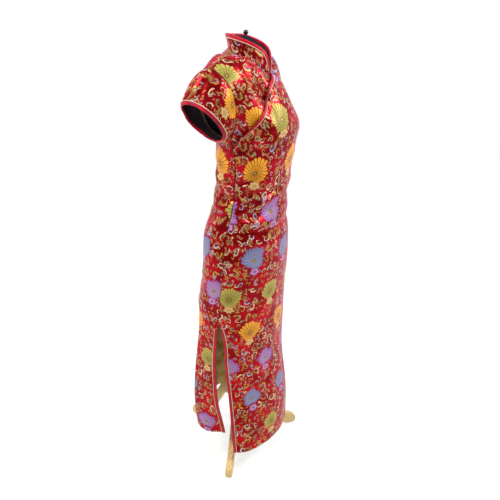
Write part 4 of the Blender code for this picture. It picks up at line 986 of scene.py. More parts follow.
class Shader:
    """A material whose nodes are written as sums."""

    def __init__(self, name):
        self.material = bpy.data.materials.new(name)
        self.material.use_nodes = True
        self.tree = self.material.node_tree
        self.surface = self.tree.nodes["Principled BSDF"]

    def put(self, socket, value):
        if isinstance(value, Num):
            self.tree.links.new(value.socket, socket)
        else:
            socket.default_value = value

    def node(self, kind, out=0, settings=None, inputs=None):
        made = self.tree.nodes.new(f"ShaderNode{kind}")
        for name, value in (settings or {}).items():
            setattr(made, name, value)
        for name, value in (inputs or {}).items():
            self.put(made.inputs[name], value)
        return Num(self, made.outputs[out])

    def maths(self, operation, *values):
        return self.node("Math", settings={"operation": operation}, inputs=dict(enumerate(values)))

    def mix(self, factor, first, second):
        def colour(value):
            return value if isinstance(value, Num) else (*value[:3], 1.0)
        return self.node("Mix", out=2, settings={"data_type": "RGBA"},
                         inputs={0: factor, 6: colour(first), 7: colour(second)})

    def vector(self, x, y, z=0.0):
        return self.node("CombineXYZ", inputs={0: x, 1: y, 2: z})

    def split(self, vector):
        made = self.tree.nodes.new("ShaderNodeSeparateXYZ")
        self.put(made.inputs[0], vector)
        return [Num(self, socket) for socket in made.outputs]

    def noise(self, vector, scale, detail=2.0):
        return self.node("TexNoise", inputs={"Vector": vector, "Scale": scale, "Detail": detail})

    def cloth_place(self):
        return self.split(self.node("UVMap", settings={"uv_map": "UVMap"}))[:2]

    def object_place(self):
        return self.node("TexCoord", out="Object")

    def finish(self, colour, roughness, height=None, depth=0.0005, metallic=None, **constants):
        self.put(self.surface.inputs["Base Color"], colour)
        self.put(self.surface.inputs["Roughness"], roughness)
        if metallic is not None:
            self.put(self.surface.inputs["Metallic"], metallic)
        for name, value in constants.items():
            self.surface.inputs[name.replace("_", " ")].default_value = value
        if height is not None:
            bump = self.node("Bump", inputs={"Height": height, "Distance": depth, "Strength": 1.0})
            self.put(self.surface.inputs["Normal"], bump)
        return self.material


def bricks(u, v, across, along):
    """Cells laid like bricks: their number, and the place in each from its middle."""
    row = (v / along).floor()
    shifted = u / across + row * 0.5
    column = shifted.floor()
    return column, row, (shifted - column - 0.5) * across, (v / along - row - 0.5) * along


def ramp(shader, factor, palette):
    """One of the palette's colours for each number from 0 to 1."""
    made = shader.tree.nodes.new("ShaderNodeValToRGB")
    made.color_ramp.interpolation = "CONSTANT"
    while len(made.color_ramp.elements) < len(palette):
        made.color_ramp.elements.new(0.5)
    for k, (element, value) in enumerate(zip(made.color_ramp.elements, palette)):
        element.position, element.color = k / len(palette), (*value[:3], 1.0)
    shader.put(made.inputs[0], factor)
    return Num(shader, made.outputs[0])


def waves(place, pitch):
    """Even waves across the cloth, one to a pitch."""
    return (place * (2 * math.pi / pitch)).sin()


def scattered(shader, place, cell, seed, spread, stretch):
    """Three chances for each cell, and the place in it, moved, leant and stretched by them."""
    column, row, x, y = bricks(*place, *cell)
    number = shader.vector(column, row, seed)
    chance = shader.node("TexWhiteNoise", out="Color", inputs={"Vector": number})
    a, b, c = shader.split(chance)
    x = x - (a - 0.5) * (cell[0] * spread)
    y = y - (b - 0.5) * (cell[1] * spread)
    lean = c * FULL_TURN
    across = x * lean.cos() + y * lean.sin()
    return a, b, c, across, (y * lean.cos() - x * lean.sin()) * stretch(a, b)


def motifs(shader, place, cell, size, seed, shown, looks):
    """Small blossoms, rings, gourds and scrolls, one to a cell: their colour and body."""
    u, v, curls = place
    bodies, rims = looks
    a, b, c, x, y = scattered(shader, (u, v), cell, seed, 0.40, lambda a, b: b * 1.1 + 0.9)
    turn = shader.maths("ARCTAN2", y, x)
    kind = (a * 3.7 + b * 5.0).fract()
    lobes = (kind * 4.3).floor() + 2.0
    reach = (turn * lobes * 0.5).cos().abs() * 0.42 + 0.58
    d = (x * x + y * y).root() / (reach * (b * (0.5 * size) + 0.70 * size))
    there = (a * 11.0 + c * 7.0).fract().step(shown + 0.01, shown)
    hollow = (kind * 9.0).fract().step(0.30, 0.31)
    rim = (d - 0.90).abs().step(0.15, 0.07)
    ring = (d - 0.45).abs().step(0.12, 0.05)
    fill = shader.mix(curls, ramp(shader, (c * 3.0 + b * 2.0).fract(), bodies), rims[1])
    fill = shader.mix(d.step(0.30, 0.22), fill, ramp(shader, (b * 5.0 + a).fract(), rims))
    line = rim.most(ring)
    colour = shader.mix(line, fill, ramp(shader, (a * 5.0 + c * 2.0).fract(), rims))
    body = d.step(1.02, 0.92) * there
    emptied = (1.0 - line.most(curls * 0.7)) * hollow
    return colour, body * (1.0 - emptied), line * body


def scrolls(shader, u, v, cell, size, seed, shown, looks):
    """Curled gold strokes with a dark inner side, one to a cell: colour, body and gold."""
    a, b, c, x, y = scattered(shader, (u, v), cell, seed, 0.45, lambda a, b: a * 0.9 + 0.9)
    turn = shader.maths("ARCTAN2", y, x)
    out = (x * x + y * y).root() / ((turn * 0.17 + 0.70) * (b * 0.5 + 0.75) * size)
    there = (a * 11.0 + c * 7.0).fract().step(shown + 0.01, shown) * turn.abs().step(3.0, 2.5)
    gold = (out - 1.0).abs().step(0.24, 0.13) * there
    # The dark band inside each gold stroke: dark thread, and painted shadow beside the stroke.
    dark = (out - 0.64).abs().step(0.32, 0.22) * there
    bright, deep = looks
    inner = ramp(shader, (b * 7.0 + c).fract(), deep)
    colour = shader.mix(gold, inner, ramp(shader, (a * 5.0 + b * 3.0).fract(), bright))
    return colour, gold.most(dark * 0.9), gold


def great_flowers(shader, u, v, sizes, colours):
    """Large chrysanthemums of separate petals, one to a brick, with a calyx under each."""
    column, row, x, y = bricks(u, v, sizes.column_step, sizes.row_step)
    turned = shader.node("Attribute", out="Fac", settings={"attribute_name": "turned"})
    order = ((row * (1.0 - turned * 2.0)) / 4.0).fract() + 0.05
    colour = ramp(shader, order, (colours.orange, colours.chartreuse, colours.blue, colours.purple))
    pale = shader.mix(0.5, colour, (0.85, 0.70, 0.50))
    outline = ramp(shader, order, (
        (0.11, 0.022, 0.004), (0.080, 0.055, 0.010), (0.32, 0.31, 0.36), (0.48, 0.36, 0.40)))
    half = sizes.flower_width / 2
    low = y + half * 0.34
    height = shader.split(shader.object_place())[2]
    flattened = height.step(0.52, 0.26) * 0.75 + 1.25
    r = (x * x + low * low * flattened).root()
    turn = shader.maths("ARCTAN2", x, low)
    wobble = (turn * 5.0 + column * 2.0).sin() * 0.05 + (turn * 3.0 + row).sin() * 0.05
    share = r / ((turn.cos() * 0.22 + 0.92 + wobble) * half)
    sway = (turn * 2.0 + row).sin() * 0.22

    def petals(count, reach, slip):
        """How far out of its petal each place is, and the line between two petals."""
        petal = turn * (count / (2 * math.pi)) + sway + slip
        own_reach = (petal.floor() * 2.4 + column).sin() * 0.05 + reach
        between = (petal.fract() - 0.5).abs() * 2.0
        rounding = between * between
        out = share / (own_reach * (1.0 - rounding * rounding * 0.20))
        beside = (1.0 - between) * r * (math.pi / count)
        return out, beside.step(0.00125, 0.0005)

    out, line = petals(PETALS, 1.0, 0.0)
    inner_out, inner_line = petals(INNER_PETALS, 0.50, 0.4)
    inner_here = inner_out.step(1.03, 0.95)
    body = out.step(1.02, 0.94) * (1.0 - line * share.step(0.70, 0.95))
    # Pale lines along one side of each petal: pale thread and painted glints.
    vein_glints = ((turn * (PETALS / (2 * math.pi)) + sway + 0.28).fract() - 0.5).abs()
    base = shader.mix(line * 0.92, colour, outline)
    base = shader.mix(vein_glints.step(0.10, 0.03) * share.step(0.35, 0.6) * 0.55, base, pale)
    inner = shader.mix(inner_line * 0.92, shader.mix(0.14, colour, outline), outline)
    base = shader.mix(inner_here * 0.85, base, inner)
    base = shader.mix((inner_out - 1.06).abs().step(0.10, 0.04) * 0.35, base, outline)
    base = shader.mix(share.step(0.20, 0.14), base, (0.13, 0.10, 0.02))
    base = shader.mix(share.step(0.10, 0.06), base, colours.gold)
    foot = y + half * 1.16
    foot_turn = shader.maths("ARCTAN2", x, foot)
    foot_reach = ((foot_turn * 3.5).cos().abs() * 0.35 + 0.65) * (half * 0.46)
    foot_d = (x * x + foot * foot * 2.2).root() / foot_reach
    calyx = foot_d.step(1.05, 0.95)
    foot_colour = shader.mix(order.step(0.35, 0.45), colours.gold, colours.purple)
    foot_colour = shader.mix((foot_d - 0.6).abs().step(0.12, 0.04), foot_colour, colours.cream)
    base = shader.mix(calyx, base, foot_colour)
    around = share.step(1.12, 1.04).most(foot_d.step(1.30, 1.15))
    bare = shader.node("Attribute", out="Fac", settings={"attribute_name": "bare"})
    shown = bare.step(0.6, 0.4)
    return base, body.most(calyx) * shown, around * shown


def brocade(sizes, colours):
    """Crimson satin woven with coloured flowers and fine gold lines."""
    shader = Shader("red_brocade")
    u, v = shader.cloth_place()
    place = shader.vector(u, v)
    wander = shader.noise(place, 90.0, 1.0) - 0.5
    waver = shader.noise(place, 150.0, 1.0) - 0.5
    pu, pv = u + wander * 0.0050, v + waver * 0.0050
    curl = shader.noise(place, 105.0, 1.0)
    curls = ((curl * 8.0).fract() - 0.5).abs().step(0.20, 0.08)
    great, great_body, around = great_flowers(
        shader, u + wander * 0.0012, v + wander * 0.0012, sizes, colours)
    dark, olive, brown = (0.050, 0.010, 0.006), (0.190, 0.120, 0.020), (0.150, 0.050, 0.014)
    pale, old_gold = (0.740, 0.590, 0.370), (0.270, 0.170, 0.038)
    bodies = (dark, colours.ground_deep, olive, dark, colours.blue, colours.ground_deep, brown,
              dark, colours.ground_deep, colours.gold, colours.purple, brown, colours.orange)
    rims = (colours.gold, old_gold, pale, colours.gold, olive, old_gold, colours.gold,
            (0.42, 0.39, 0.52))
    across, along = sizes.column_step, sizes.row_step
    strokes = ((pale, colours.gold, pale, (0.400, 0.270, 0.055), colours.gold, colours.gold, pale,
                (0.360, 0.230, 0.050), (0.680, 0.370, 0.040), (0.470, 0.440, 0.560)),
               (dark, olive, dark, brown, (0.060, 0.070, 0.130)))
    large, large_body, large_gold = scrolls(
        shader, pu, pv + 0.004, (across / 5, along / 4), 0.0098, 5.0, 0.86, strokes)
    fine, fine_body, fine_gold = scrolls(
        shader, pu + 0.009, pv, (across / 8, along / 7), 0.0060, 2.0, 0.74, strokes)
    middle, middle_body, middle_line = motifs(
        shader, (pu, pv + 0.013, curls), (across / 4.5, along / 3.5), 0.0105, 3.0, 0.42,
        (bodies, rims))
    # The cream among the blobs stands also for the metal threads' white glints: painted glints.
    blobs = (colours.blue, colours.gold, colours.purple, colours.orange, olive, colours.blue,
             (0.80, 0.66, 0.50), colours.orange, colours.chartreuse, colours.purple)
    small, small_body, _ = motifs(
        shader, (pu + 0.007, pv, curls), (across / 9, along / 7), 0.0048, 8.0, 0.40, (blobs, rims))
    clear = 1.0 - around
    middle_here = middle_body * clear
    clear = clear * (1.0 - middle_body)
    small_here = small_body * clear
    shade = shader.noise(place, 15.0, 2.0)
    # The ground is bluer up the body than down the skirt: painted highlight tint, so the highlights
    # up the body turn pinker.
    low = shader.split(shader.object_place())[2].step(0.95, 0.45)
    ground = shader.mix(low * 0.8, colours.ground, (0.460, 0.004, 0.004))
    # Darker patches of the ground at random: tone of the weave, and painted shade for the satin's
    # shading.
    colour = shader.mix(shade.step(0.32, 0.64), ground, colours.ground_deep)
    colour = shader.mix(fine_body * clear, colour, fine)
    colour = shader.mix(large_body * clear, colour, large)
    colour = shader.mix(small_here * 0.94, colour, small)
    colour = shader.mix(middle_here * 0.96, colour, middle)
    colour = shader.mix(great_body, colour, great)
    metal = (middle_line * (1.0 - around)).most(large_gold.most(fine_gold) * clear)
    weave = waves(u, sizes.weave_step) * waves(v, sizes.weave_step * 1.4)
    near = great_body.most(middle_here).most(small_here).most(large_body.most(fine_body) * clear)
    height = near * 0.5 + metal * 0.5 + weave * 0.05
    roughness = 0.26 + near * 0.16 - metal * 0.08 + (shade - 0.5) * 0.10
    tint = (1.0, 0.36, 0.58, 1.0)
    return shader.finish(
        colour, roughness, height, 0.00022, 0.56 - near * 0.44 + metal * 0.18,
        Specular_IOR_Level=0.22, Specular_Tint=tint,
        Sheen_Weight=0.04, Sheen_Roughness=0.4, Sheen_Tint=tint,
    )


def wrong_side(sizes, colours):
    """The back of the brocade, where the loose coloured wefts run across."""
    shader = Shader("brocade_wrong_side")
    u, v = shader.cloth_place()
    streaks = shader.noise(shader.vector(u * 0.12, v), 900.0, 2.0)
    patches = shader.noise(shader.vector(u, v), 26.0, 2.0)
    colour = shader.mix(patches.step(0.42, 0.58), (0.380, 0.240, 0.020), (0.620, 0.520, 0.190))
    blots = shader.noise(shader.vector(u + 0.3, v), 34.0, 1.0)
    colour = shader.mix(blots.step(0.56, 0.64) * 0.7, colour, colours.chartreuse)
    colour = shader.mix(streaks.step(0.45, 0.62) * 0.45, colour, (0.26, 0.045, 0.020))
    bands = ((v / (sizes.row_step / 2)).fract() - 0.5).abs().step(0.18, 0.10)
    colour = shader.mix(bands * 0.3, colour, (0.40, 0.32, 0.11))
    height = streaks + waves(v, sizes.weave_step) * 0.2
    return shader.finish(colour, 0.72 + streaks * 0.1, height, 0.00025, Sheen_Weight=0.15)


def dark_lining(sizes):
    """The sleeves' thin dark lining."""
    shader = Shader("dark_lining")
    u, v = shader.cloth_place()
    weave = waves(u, sizes.weave_step) * waves(v, sizes.weave_step)
    cloud = shader.noise(shader.vector(u, v), 60.0, 2.0)
    colour = shader.mix(cloud, (0.010, 0.003, 0.005), (0.018, 0.007, 0.010))
    return shader.finish(colour, 0.6 + cloud * 0.2, weave, 0.00003, Specular_IOR_Level=0.2)


def satin(name, colour, deeper, twill=0.0011):
    """Bias-cut satin, with its fine slanting ribs."""
    shader = Shader(name)
    u, v = shader.cloth_place()
    rib = waves(u + v, twill)
    cloud = shader.noise(shader.object_place(), 90.0, 2.0)
    pucker = shader.noise(shader.vector(u, v * 0.3), 260.0, 1.0)
    mixed = shader.mix(cloud.step(0.3, 0.75), colour, deeper)
    return shader.finish(mixed, 0.36 + cloud * 0.12, pucker + rib * 0.06, 0.00035,
                         Specular_IOR_Level=0.6, Specular_Tint=(1.0, 0.30, 0.36, 1.0))


def cord(name, colour, deeper, pitch=0.0022, roughness=0.5):
    """A twisted cord, its strands slanting round it."""
    shader = Shader(name)
    u, v = shader.cloth_place()
    strand = ((u / pitch + v / 0.0035) * math.pi).sin().abs()
    fuzz = shader.noise(shader.object_place(), 900.0, 2.0)
    # The strands darker in the grooves between them: painted shade; the fuzz darkens it at random
    # too.
    mixed = shader.mix(strand.step(0.05, 0.55), deeper, colour)
    mixed = shader.mix(fuzz * 0.25, mixed, deeper)
    return shader.finish(mixed, roughness, strand + fuzz * 0.2, 0.0004, Sheen_Weight=0.15)


def jersey(colours):
    """Fine dark knit stretched over the form."""
    shader = Shader("navy_jersey")
    place = shader.object_place()
    x, y, z = shader.split(place)
    rib, loop = waves(x + y * 0.6, 0.0016), waves(z, 0.0013)
    lint = shader.noise(place, 420.0, 3.0)
    colour = shader.mix(lint.step(0.50, 0.78), colours.navy, (0.013, 0.012, 0.021))
    return shader.finish(colour, 0.82 + lint * 0.15, rib * loop * 0.5 + lint * 0.5, 0.00015,
                         Specular_IOR_Level=0.08, Sheen_Weight=0.02,
                         Sheen_Tint=(0.55, 0.5, 0.75, 1.0))


def wood(colours):
    """Oiled golden wood, with long grain, pores and a few knots."""
    shader = Shader("golden_wood")
    place = shader.node("Attribute", out="Vector", settings={"attribute_name": "grain"})
    x, y, z = shader.split(place)
    drift = shader.noise(shader.vector(x * 0.35, y, z), 26.0, 2.0)
    rings = (((y * 1.3 + z * 0.8 + drift * 0.035) / 0.0085).fract() - 0.5).abs() * 2.0
    pores = shader.noise(shader.vector(x * 0.06, y, z), 1100.0, 2.0)
    knot = shader.node("TexVoronoi", inputs={"Vector": shader.vector(x * 0.7, y, z), "Scale": 13.0})
    colour = shader.mix(rings.step(0.15, 0.95), colours.wood, (0.600, 0.400, 0.145))
    colour = shader.mix(pores.step(0.52, 0.72) * 0.5, colour, (0.330, 0.190, 0.060))
    colour = shader.mix(knot.step(0.13, 0.05), colour, (0.13, 0.05, 0.02))
    return shader.finish(colour, 0.42 + pores * 0.16, rings * 0.3 + pores, 0.00018,
                         Coat_Weight=0.12, Coat_Roughness=0.3)


def gloss(name, colour, roughness=0.22):
    shader = Shader(name)
    place = shader.object_place()
    smudge = shader.noise(place, 240.0, 3.0)
    mixed = shader.mix(smudge.step(0.55, 0.8) * 0.4, colour, (0.05, 0.045, 0.06))
    return shader.finish(mixed, roughness + smudge * 0.14, smudge, 0.00005, Coat_Weight=0.3)


def metal(name, colour):
    shader = Shader(name)
    brushed = shader.noise(shader.object_place(), 1400.0, 2.0)
    mixed = shader.mix(brushed * 0.4, colour, (0.20, 0.16, 0.14))
    return shader.finish(mixed, 0.28 + brushed * 0.15, brushed, 0.00003, 0.95)


@functools.lru_cache(maxsize=None)
def material(name):
    """Each material of the object, made when it is first asked for."""
    scene = bpy.context.scene
    sizes, colours = scene.cheongsam_sizes, scene.cheongsam_colours
    makers = {
        "brocade": lambda: brocade(sizes, colours),
        "wrong_side": lambda: wrong_side(sizes, colours),
        # Painted shade: the near-black inside of the sleeves.
        "lining": lambda: dark_lining(sizes),
        # The cut edges, near-black crimson: painted shade for the shade in the seams between
        # pieces.
        "shaded_raw_edge": lambda: satin("shaded_raw_edge", (0.060, 0.002, 0.004), (0.030, 0.001, 0.002)),
        # Dark zip tape, darkened also as painted shade for the zip's gap.
        "tape": lambda: satin("zip_tape", (0.050, 0.003, 0.008), (0.030, 0.002, 0.005)),
        "binding": lambda: satin("crimson_binding", colours.binding, (0.26, 0.006, 0.022)),
        "piping": lambda: cord("cream_piping", colours.cream, (0.62, 0.36, 0.22)),
        "thread": lambda: cord("crimson_thread", (0.36, 0.012, 0.030), (0.20, 0.006, 0.015)),
        "lilac": lambda: cord("lilac_knot", (0.55, 0.50, 0.62), (0.30, 0.25, 0.42), 0.0016),
        "dark_red": lambda: cord(
            "dark_red_knot", (0.17, 0.008, 0.016), (0.07, 0.004, 0.008), 0.0016),
        "jersey": lambda: jersey(colours),
        "wood": lambda: wood(colours),
        "knob": lambda: gloss("dark_knob", (0.010, 0.009, 0.014, 1.0)),
        "coil": lambda: gloss("zip_coil", (0.24, 0.008, 0.018, 1.0), 0.4),
        "slider": lambda: metal("zip_slider", (0.42, 0.05, 0.06, 1.0)),
    }
    return makers[name]()


# ---------------------------------------------------------------- pieces
# Where the woven pattern starts on each piece, across and up, in metres.
PATTERN_START = {
    "front_panel": (0.066, 0.093), "back_panel": (-0.069, 0.125), "under_front": (0.066, -0.083),
    "sleeve_right": (-0.039, 1.002), "sleeve_left": (-0.110, 0.890), "collar": (0.070, 0.089),
}
# Pieces whose rows of flowers change colour in the opposite order.
TURNED = ("back_panel", "sleeve_left")
# Places with no large flower: the middle of each and its radius, and how soft its rim is.
BARE = (
    ("under_front", (-0.055, -0.119, 1.231), 0.065),
    ("sleeve_right", (-0.185, 0.007, 1.232), 0.065),
    ("front_panel", (-0.172, -0.080, 0.163), 0.065),
)
BARE_EDGE = 0.01
# Pieces whose pattern is drawn out, how far up the cloth that starts, and by what share.
DRAWN_OUT = ("front_panel", "back_panel")
DRAWN_FROM, DRAWN_SHARE = 0.66, 0.145


def build_cloth():
    cloths, _ = cut_dress()
    for name, cloth in cloths.items():
        wall = COLLAR_WALL if name == "collar" else WALL
        # The sleeves' inner faces are painted shade; the other pieces show the brocade's wrong
        # side.
        inner = "lining" if name.startswith("sleeve") else "wrong_side"
        # Every cut edge gets painted shade, so the seams show as dark lines.
        kinds = [material("brocade"), material(inner), material("shaded_raw_edge")]
        piece = add_wall(name, cloth, wall, kinds)
        order = piece.data.attributes.new("turned", "FLOAT", "POINT")
        order.data.foreach_set("value", [float(name in TURNED)] * len(piece.data.vertices))
        bare = np.zeros(len(piece.data.vertices))
        for place, middle, radius in BARE:
            if place == name:
                away = np.linalg.norm(cloth.points - np.array(middle), axis=1)
                share = np.clip((radius - away) / BARE_EDGE, 0.0, 1.0)
                bare = np.maximum(bare, np.concatenate([share, share]))
        piece.data.attributes.new("bare", "FLOAT", "POINT").data.foreach_set("value", bare)


def build_trims():
    beside = BINDING_WIDTH + PIPING_SIZE / 2 + SKIN_GAP
    for name, (edge, wall, closed) in bound_edges().items():
        for part, profile, kind, slot in (
            ("binding", rounded_binding(BINDING_WIDTH, wall), "binding", "crimson_binding"),
            ("piping", cord_profile(beside, PIPING_RISE, PIPING_SIZE), "piping", "cream_piping"),
        ):
            mesh = swept(f"{name}_{part}", edge, profile, closed)
            add_object(f"sewn_{name}_{part}", mesh, [material(kind)], (f"{name}_{part}",))


def instanced(name, lines, pitch, size, shape_material):
    """Small rounded stitches set at an even pitch along lines of points."""
    points, edges = [], []
    for line in lines:
        start = len(points)
        points += [tuple(point) for point in line]
        edges += [(k, k + 1) for k in range(start, len(points) - 1)]
    mesh = bpy.data.meshes.new(name)
    mesh.from_pydata(points, edges, [])
    piece = bpy.data.objects.new(name, mesh)
    bpy.context.scene.collection.objects.link(piece)
    tree = bpy.data.node_groups.new(name, "GeometryNodeTree")
    tree.interface.new_socket("Geometry", in_out="INPUT", socket_type="NodeSocketGeometry")
    spacing = tree.interface.new_socket("Pitch", in_out="INPUT", socket_type="NodeSocketFloat")
    scale = tree.interface.new_socket("Size", in_out="INPUT", socket_type="NodeSocketVector")
    tree.interface.new_socket("Geometry", in_out="OUTPUT", socket_type="NodeSocketGeometry")
    kinds = {
        "start": "NodeGroupInput", "curve": "GeometryNodeMeshToCurve",
        "even": "GeometryNodeResampleCurve",
        "tangent": "GeometryNodeInputTangent", "align": "FunctionNodeAlignRotationToVector",
        "bead": "GeometryNodeMeshUVSphere", "set": "GeometryNodeInstanceOnPoints",
        "real": "GeometryNodeRealizeInstances", "dress": "GeometryNodeSetMaterial",
        "end": "NodeGroupOutput",
    }
    nodes = {key: tree.nodes.new(kind) for key, kind in kinds.items()}
    nodes["even"].mode = "LENGTH"
    nodes["align"].axis = "X"
    nodes["bead"].inputs["Segments"].default_value = BEAD_SIDES
    nodes["bead"].inputs["Rings"].default_value = BEAD_RINGS
    nodes["bead"].inputs["Radius"].default_value = 0.5
    nodes["dress"].inputs["Material"].default_value = shape_material
    for source, out, target, into in (
        ("start", "Geometry", "curve", "Mesh"), ("curve", "Curve", "even", "Curve"),
        ("start", "Pitch", "even", "Length"), ("even", "Curve", "set", "Points"),
        ("tangent", "Tangent", "align", "Vector"), ("align", "Rotation", "set", "Rotation"),
        ("bead", "Mesh", "set", "Instance"), ("start", "Size", "set", "Scale"),
        ("set", "Instances", "real", "Geometry"), ("real", "Geometry", "dress", "Geometry"),
        ("dress", "Geometry", "end", "Geometry"),
    ):
        tree.links.new(nodes[source].outputs[out], nodes[target].inputs[into])
    modifier = piece.modifiers.new(name, "NODES")
    modifier.node_group = tree
    modifier[spacing.identifier] = pitch
    modifier[scale.identifier] = size
    bpy.context.view_layer.update()
    graph = bpy.context.evaluated_depsgraph_get()
    baked = bpy.data.meshes.new_from_object(piece.evaluated_get(graph))
    bpy.data.objects.remove(piece)
    baked.name = name
    return baked


def build_stitching():
    pitch = bpy.context.scene.cheongsam_sizes.stitch_pitch
    lines = []
    for edge, _, closed in bound_edges().values():
        line = edge.at(BINDING_WIDTH - 0.0009, TRIM_GAP + BINDING_CLOTH + 0.0001)
        lines.append(np.concatenate([line, line[:1]]) if closed else line)
    baked = instanced("binding_stitches", lines, pitch, STITCH_SIZE, material("thread"))
    add_object("binding_stitches", baked, [])
    cloths, _ = cut_dress()
    hems = []
    for name in ("front_panel", "back_panel"):
        cloth = cloths[name]
        row = cloth.sheet.names["skirt"][HEM_STITCH_ROW]
        hems.append(cloth.points[row] - cloth.normals[row] * (WALL + 0.0002))
    baked = instanced("hem_stitches", hems, HEM_STITCH_PITCH, HEM_STITCH_SIZE, material("thread"))
    add_object("hem_stitches", baked, [])


def frog_frame(right, s, t):
    """Where a frog sits: its place, along the opening, beyond its edge, and outwards."""
    here = right.points(s, t)
    across = (right.points(s + 0.01, t) - here) / 0.01
    up = (right.points(s, t + 0.01) - here) / 0.01
    normal = unit(np.cross(up, across))
    after, before = (opening_share(np.array(at), 0) for at in (s + 0.02, max(s - 0.02, 0)))
    slope = (after - before) / 0.04
    along = unit(across + up * (slope if s > 0.1 else -1.4))
    beyond = np.cross(along, normal)
    return here, along, beyond * np.sign(beyond[2]), normal


def build_frogs():
    """At each frog a ball knot of interlaced cord in a loop across the opening."""
    _, quarters = cut_dress()
    kinds = {"frog_neck": ("lilac", "lilac_knot"), "frog_chest": ("dark_red", "dark_red_knot")}
    for name, (s, t, radius, reach) in FROGS.items():
        here, along, beyond, normal = frog_frame(quarters[True, -1], s, t)
        turn = np.linspace(0, 2 * math.pi, 64, endpoint=False)
        out = reach * np.cos(turn)
        height = np.interp(out, (0.0015, reach), (0.0092, 0.0015))
        centres = here + beyond * out[:, None] + along * (LOOP_HALF_WIDTH * np.sin(turn))[:, None]
        centres = centres + normal * height[:, None]
        ahead = np.roll(centres, -1, axis=0) - np.roll(centres, 1, axis=0)
        inside = unit(np.cross(normal, ahead))
        places = np.stack([centres, centres + inside * 0.002], axis=1)
        edge = Edge(places, np.tile(normal, (len(turn), 2, 1)))
        mesh = swept(f"{name}_loop", edge, cord_profile(0.0, 0.0, LOOP_CORD, 8), True)
        add_object(
            f"{name}_loop", mesh, [material("binding")], (f"{name}_cord",))
        middle = here + normal * KNOT_HEIGHT
        a, b = np.meshgrid(
            np.linspace(0, 2 * math.pi, 49)[:-1], np.linspace(0, math.pi, 27)[1:-1])
        weave = np.maximum(abs(np.sin(2.5 * a + 2.0 * b)), abs(np.sin(2.5 * a - 2.0 * b)))
        size = radius * (0.86 + 0.15 * weave)
        ball = np.stack([
            size * np.sin(b) * np.cos(a), size * np.sin(b) * np.sin(a), size * np.cos(b),
        ], axis=-1)
        points = np.array([*ball.reshape(-1, 3), (0, 0, radius * 0.9), (0, 0, -radius * 0.9)])
        flats = []
        rows, steps = a.shape
        for k in range(steps):
            flats += [np.zeros((3, 2)), np.zeros((3, 2))]
            for j in range(rows - 1):
                flats.append(np.array([(k, j), (k, j + 1), (k + 1, j + 1), (k + 1, j)]) * 0.0006)
        ball = mesh_from(f"{name}_ball", points + middle, spun_faces(rows, steps), flats)
        kind, slot = kinds[name]
        add_object(
            f"{name}_ball", faced_outwards(ball), [material(kind)], (f"{name}_knot",))


def build_zip():
    """The concealed zip behind the right side seam: two tapes, a coil and its slider."""
    cloths, _ = cut_dress()
    cloth = cloths["back_panel"]
    skirt, bodice = cloth.sheet.names["skirt"], cloth.sheet.names["right_bodice"]
    lines = np.concatenate([skirt[:, :-5:-1], bodice[1:, :-5:-1]])
    z = cloth.points[lines[:, 0], 2]
    edge = cloth.edge(lines[(z > ZIP_BOTTOM) & (z < ZIP_TOP)])
    half, top = ZIP_WIDTH / 2, -WALL - 0.0018
    tape = [(-half, top), (-0.0006, top), (0.0, top - 0.0004), (0.0006, top), (half, top),
            (half, top - 0.0006), (0.0006, top - 0.0006), (0.0, top - 0.0009),
            (-0.0006, top - 0.0006), (-half, top - 0.0006)]
    # The tape's dark colour also paints the shade in the gap over the zip.
    add_object("zip_tape", swept("zip_tape", edge, tape), [material("tape")], ("side_zip",))
    line = edge.at(0.0, top - 0.0013)
    coil = instanced("zip_coil", [line], COIL_PITCH, COIL_SIZE, material("coil"))
    add_object("zip_coil", coil, [])
    here, down = line[-1], unit(line[-4] - line[-1])
    side = unit(edge.inside[-1])
    deep = np.cross(down, side)
    shape = bmesh.new()
    for middle, size in SLIDER_PARTS:
        made = bmesh.ops.create_cube(shape, size=1.0)["verts"]
        for corner in made:
            x, y, w = corner.co.x * size[0], corner.co.y * size[1], corner.co.z * size[2]
            y *= 1.0 - 0.25 * (corner.co.x > 0)
            corner.co = Vector(here + down * (middle + x) + side * y + deep * w)
    bmesh.ops.bevel(shape, geom=shape.edges[:], offset=0.0004, segments=2, affect="EDGES")
    mesh = bpy.data.meshes.new("zip_slider")
    shape.to_mesh(mesh)
    shape.free()
    add_object("zip_slider", faced_outwards(mesh), [material("slider")])


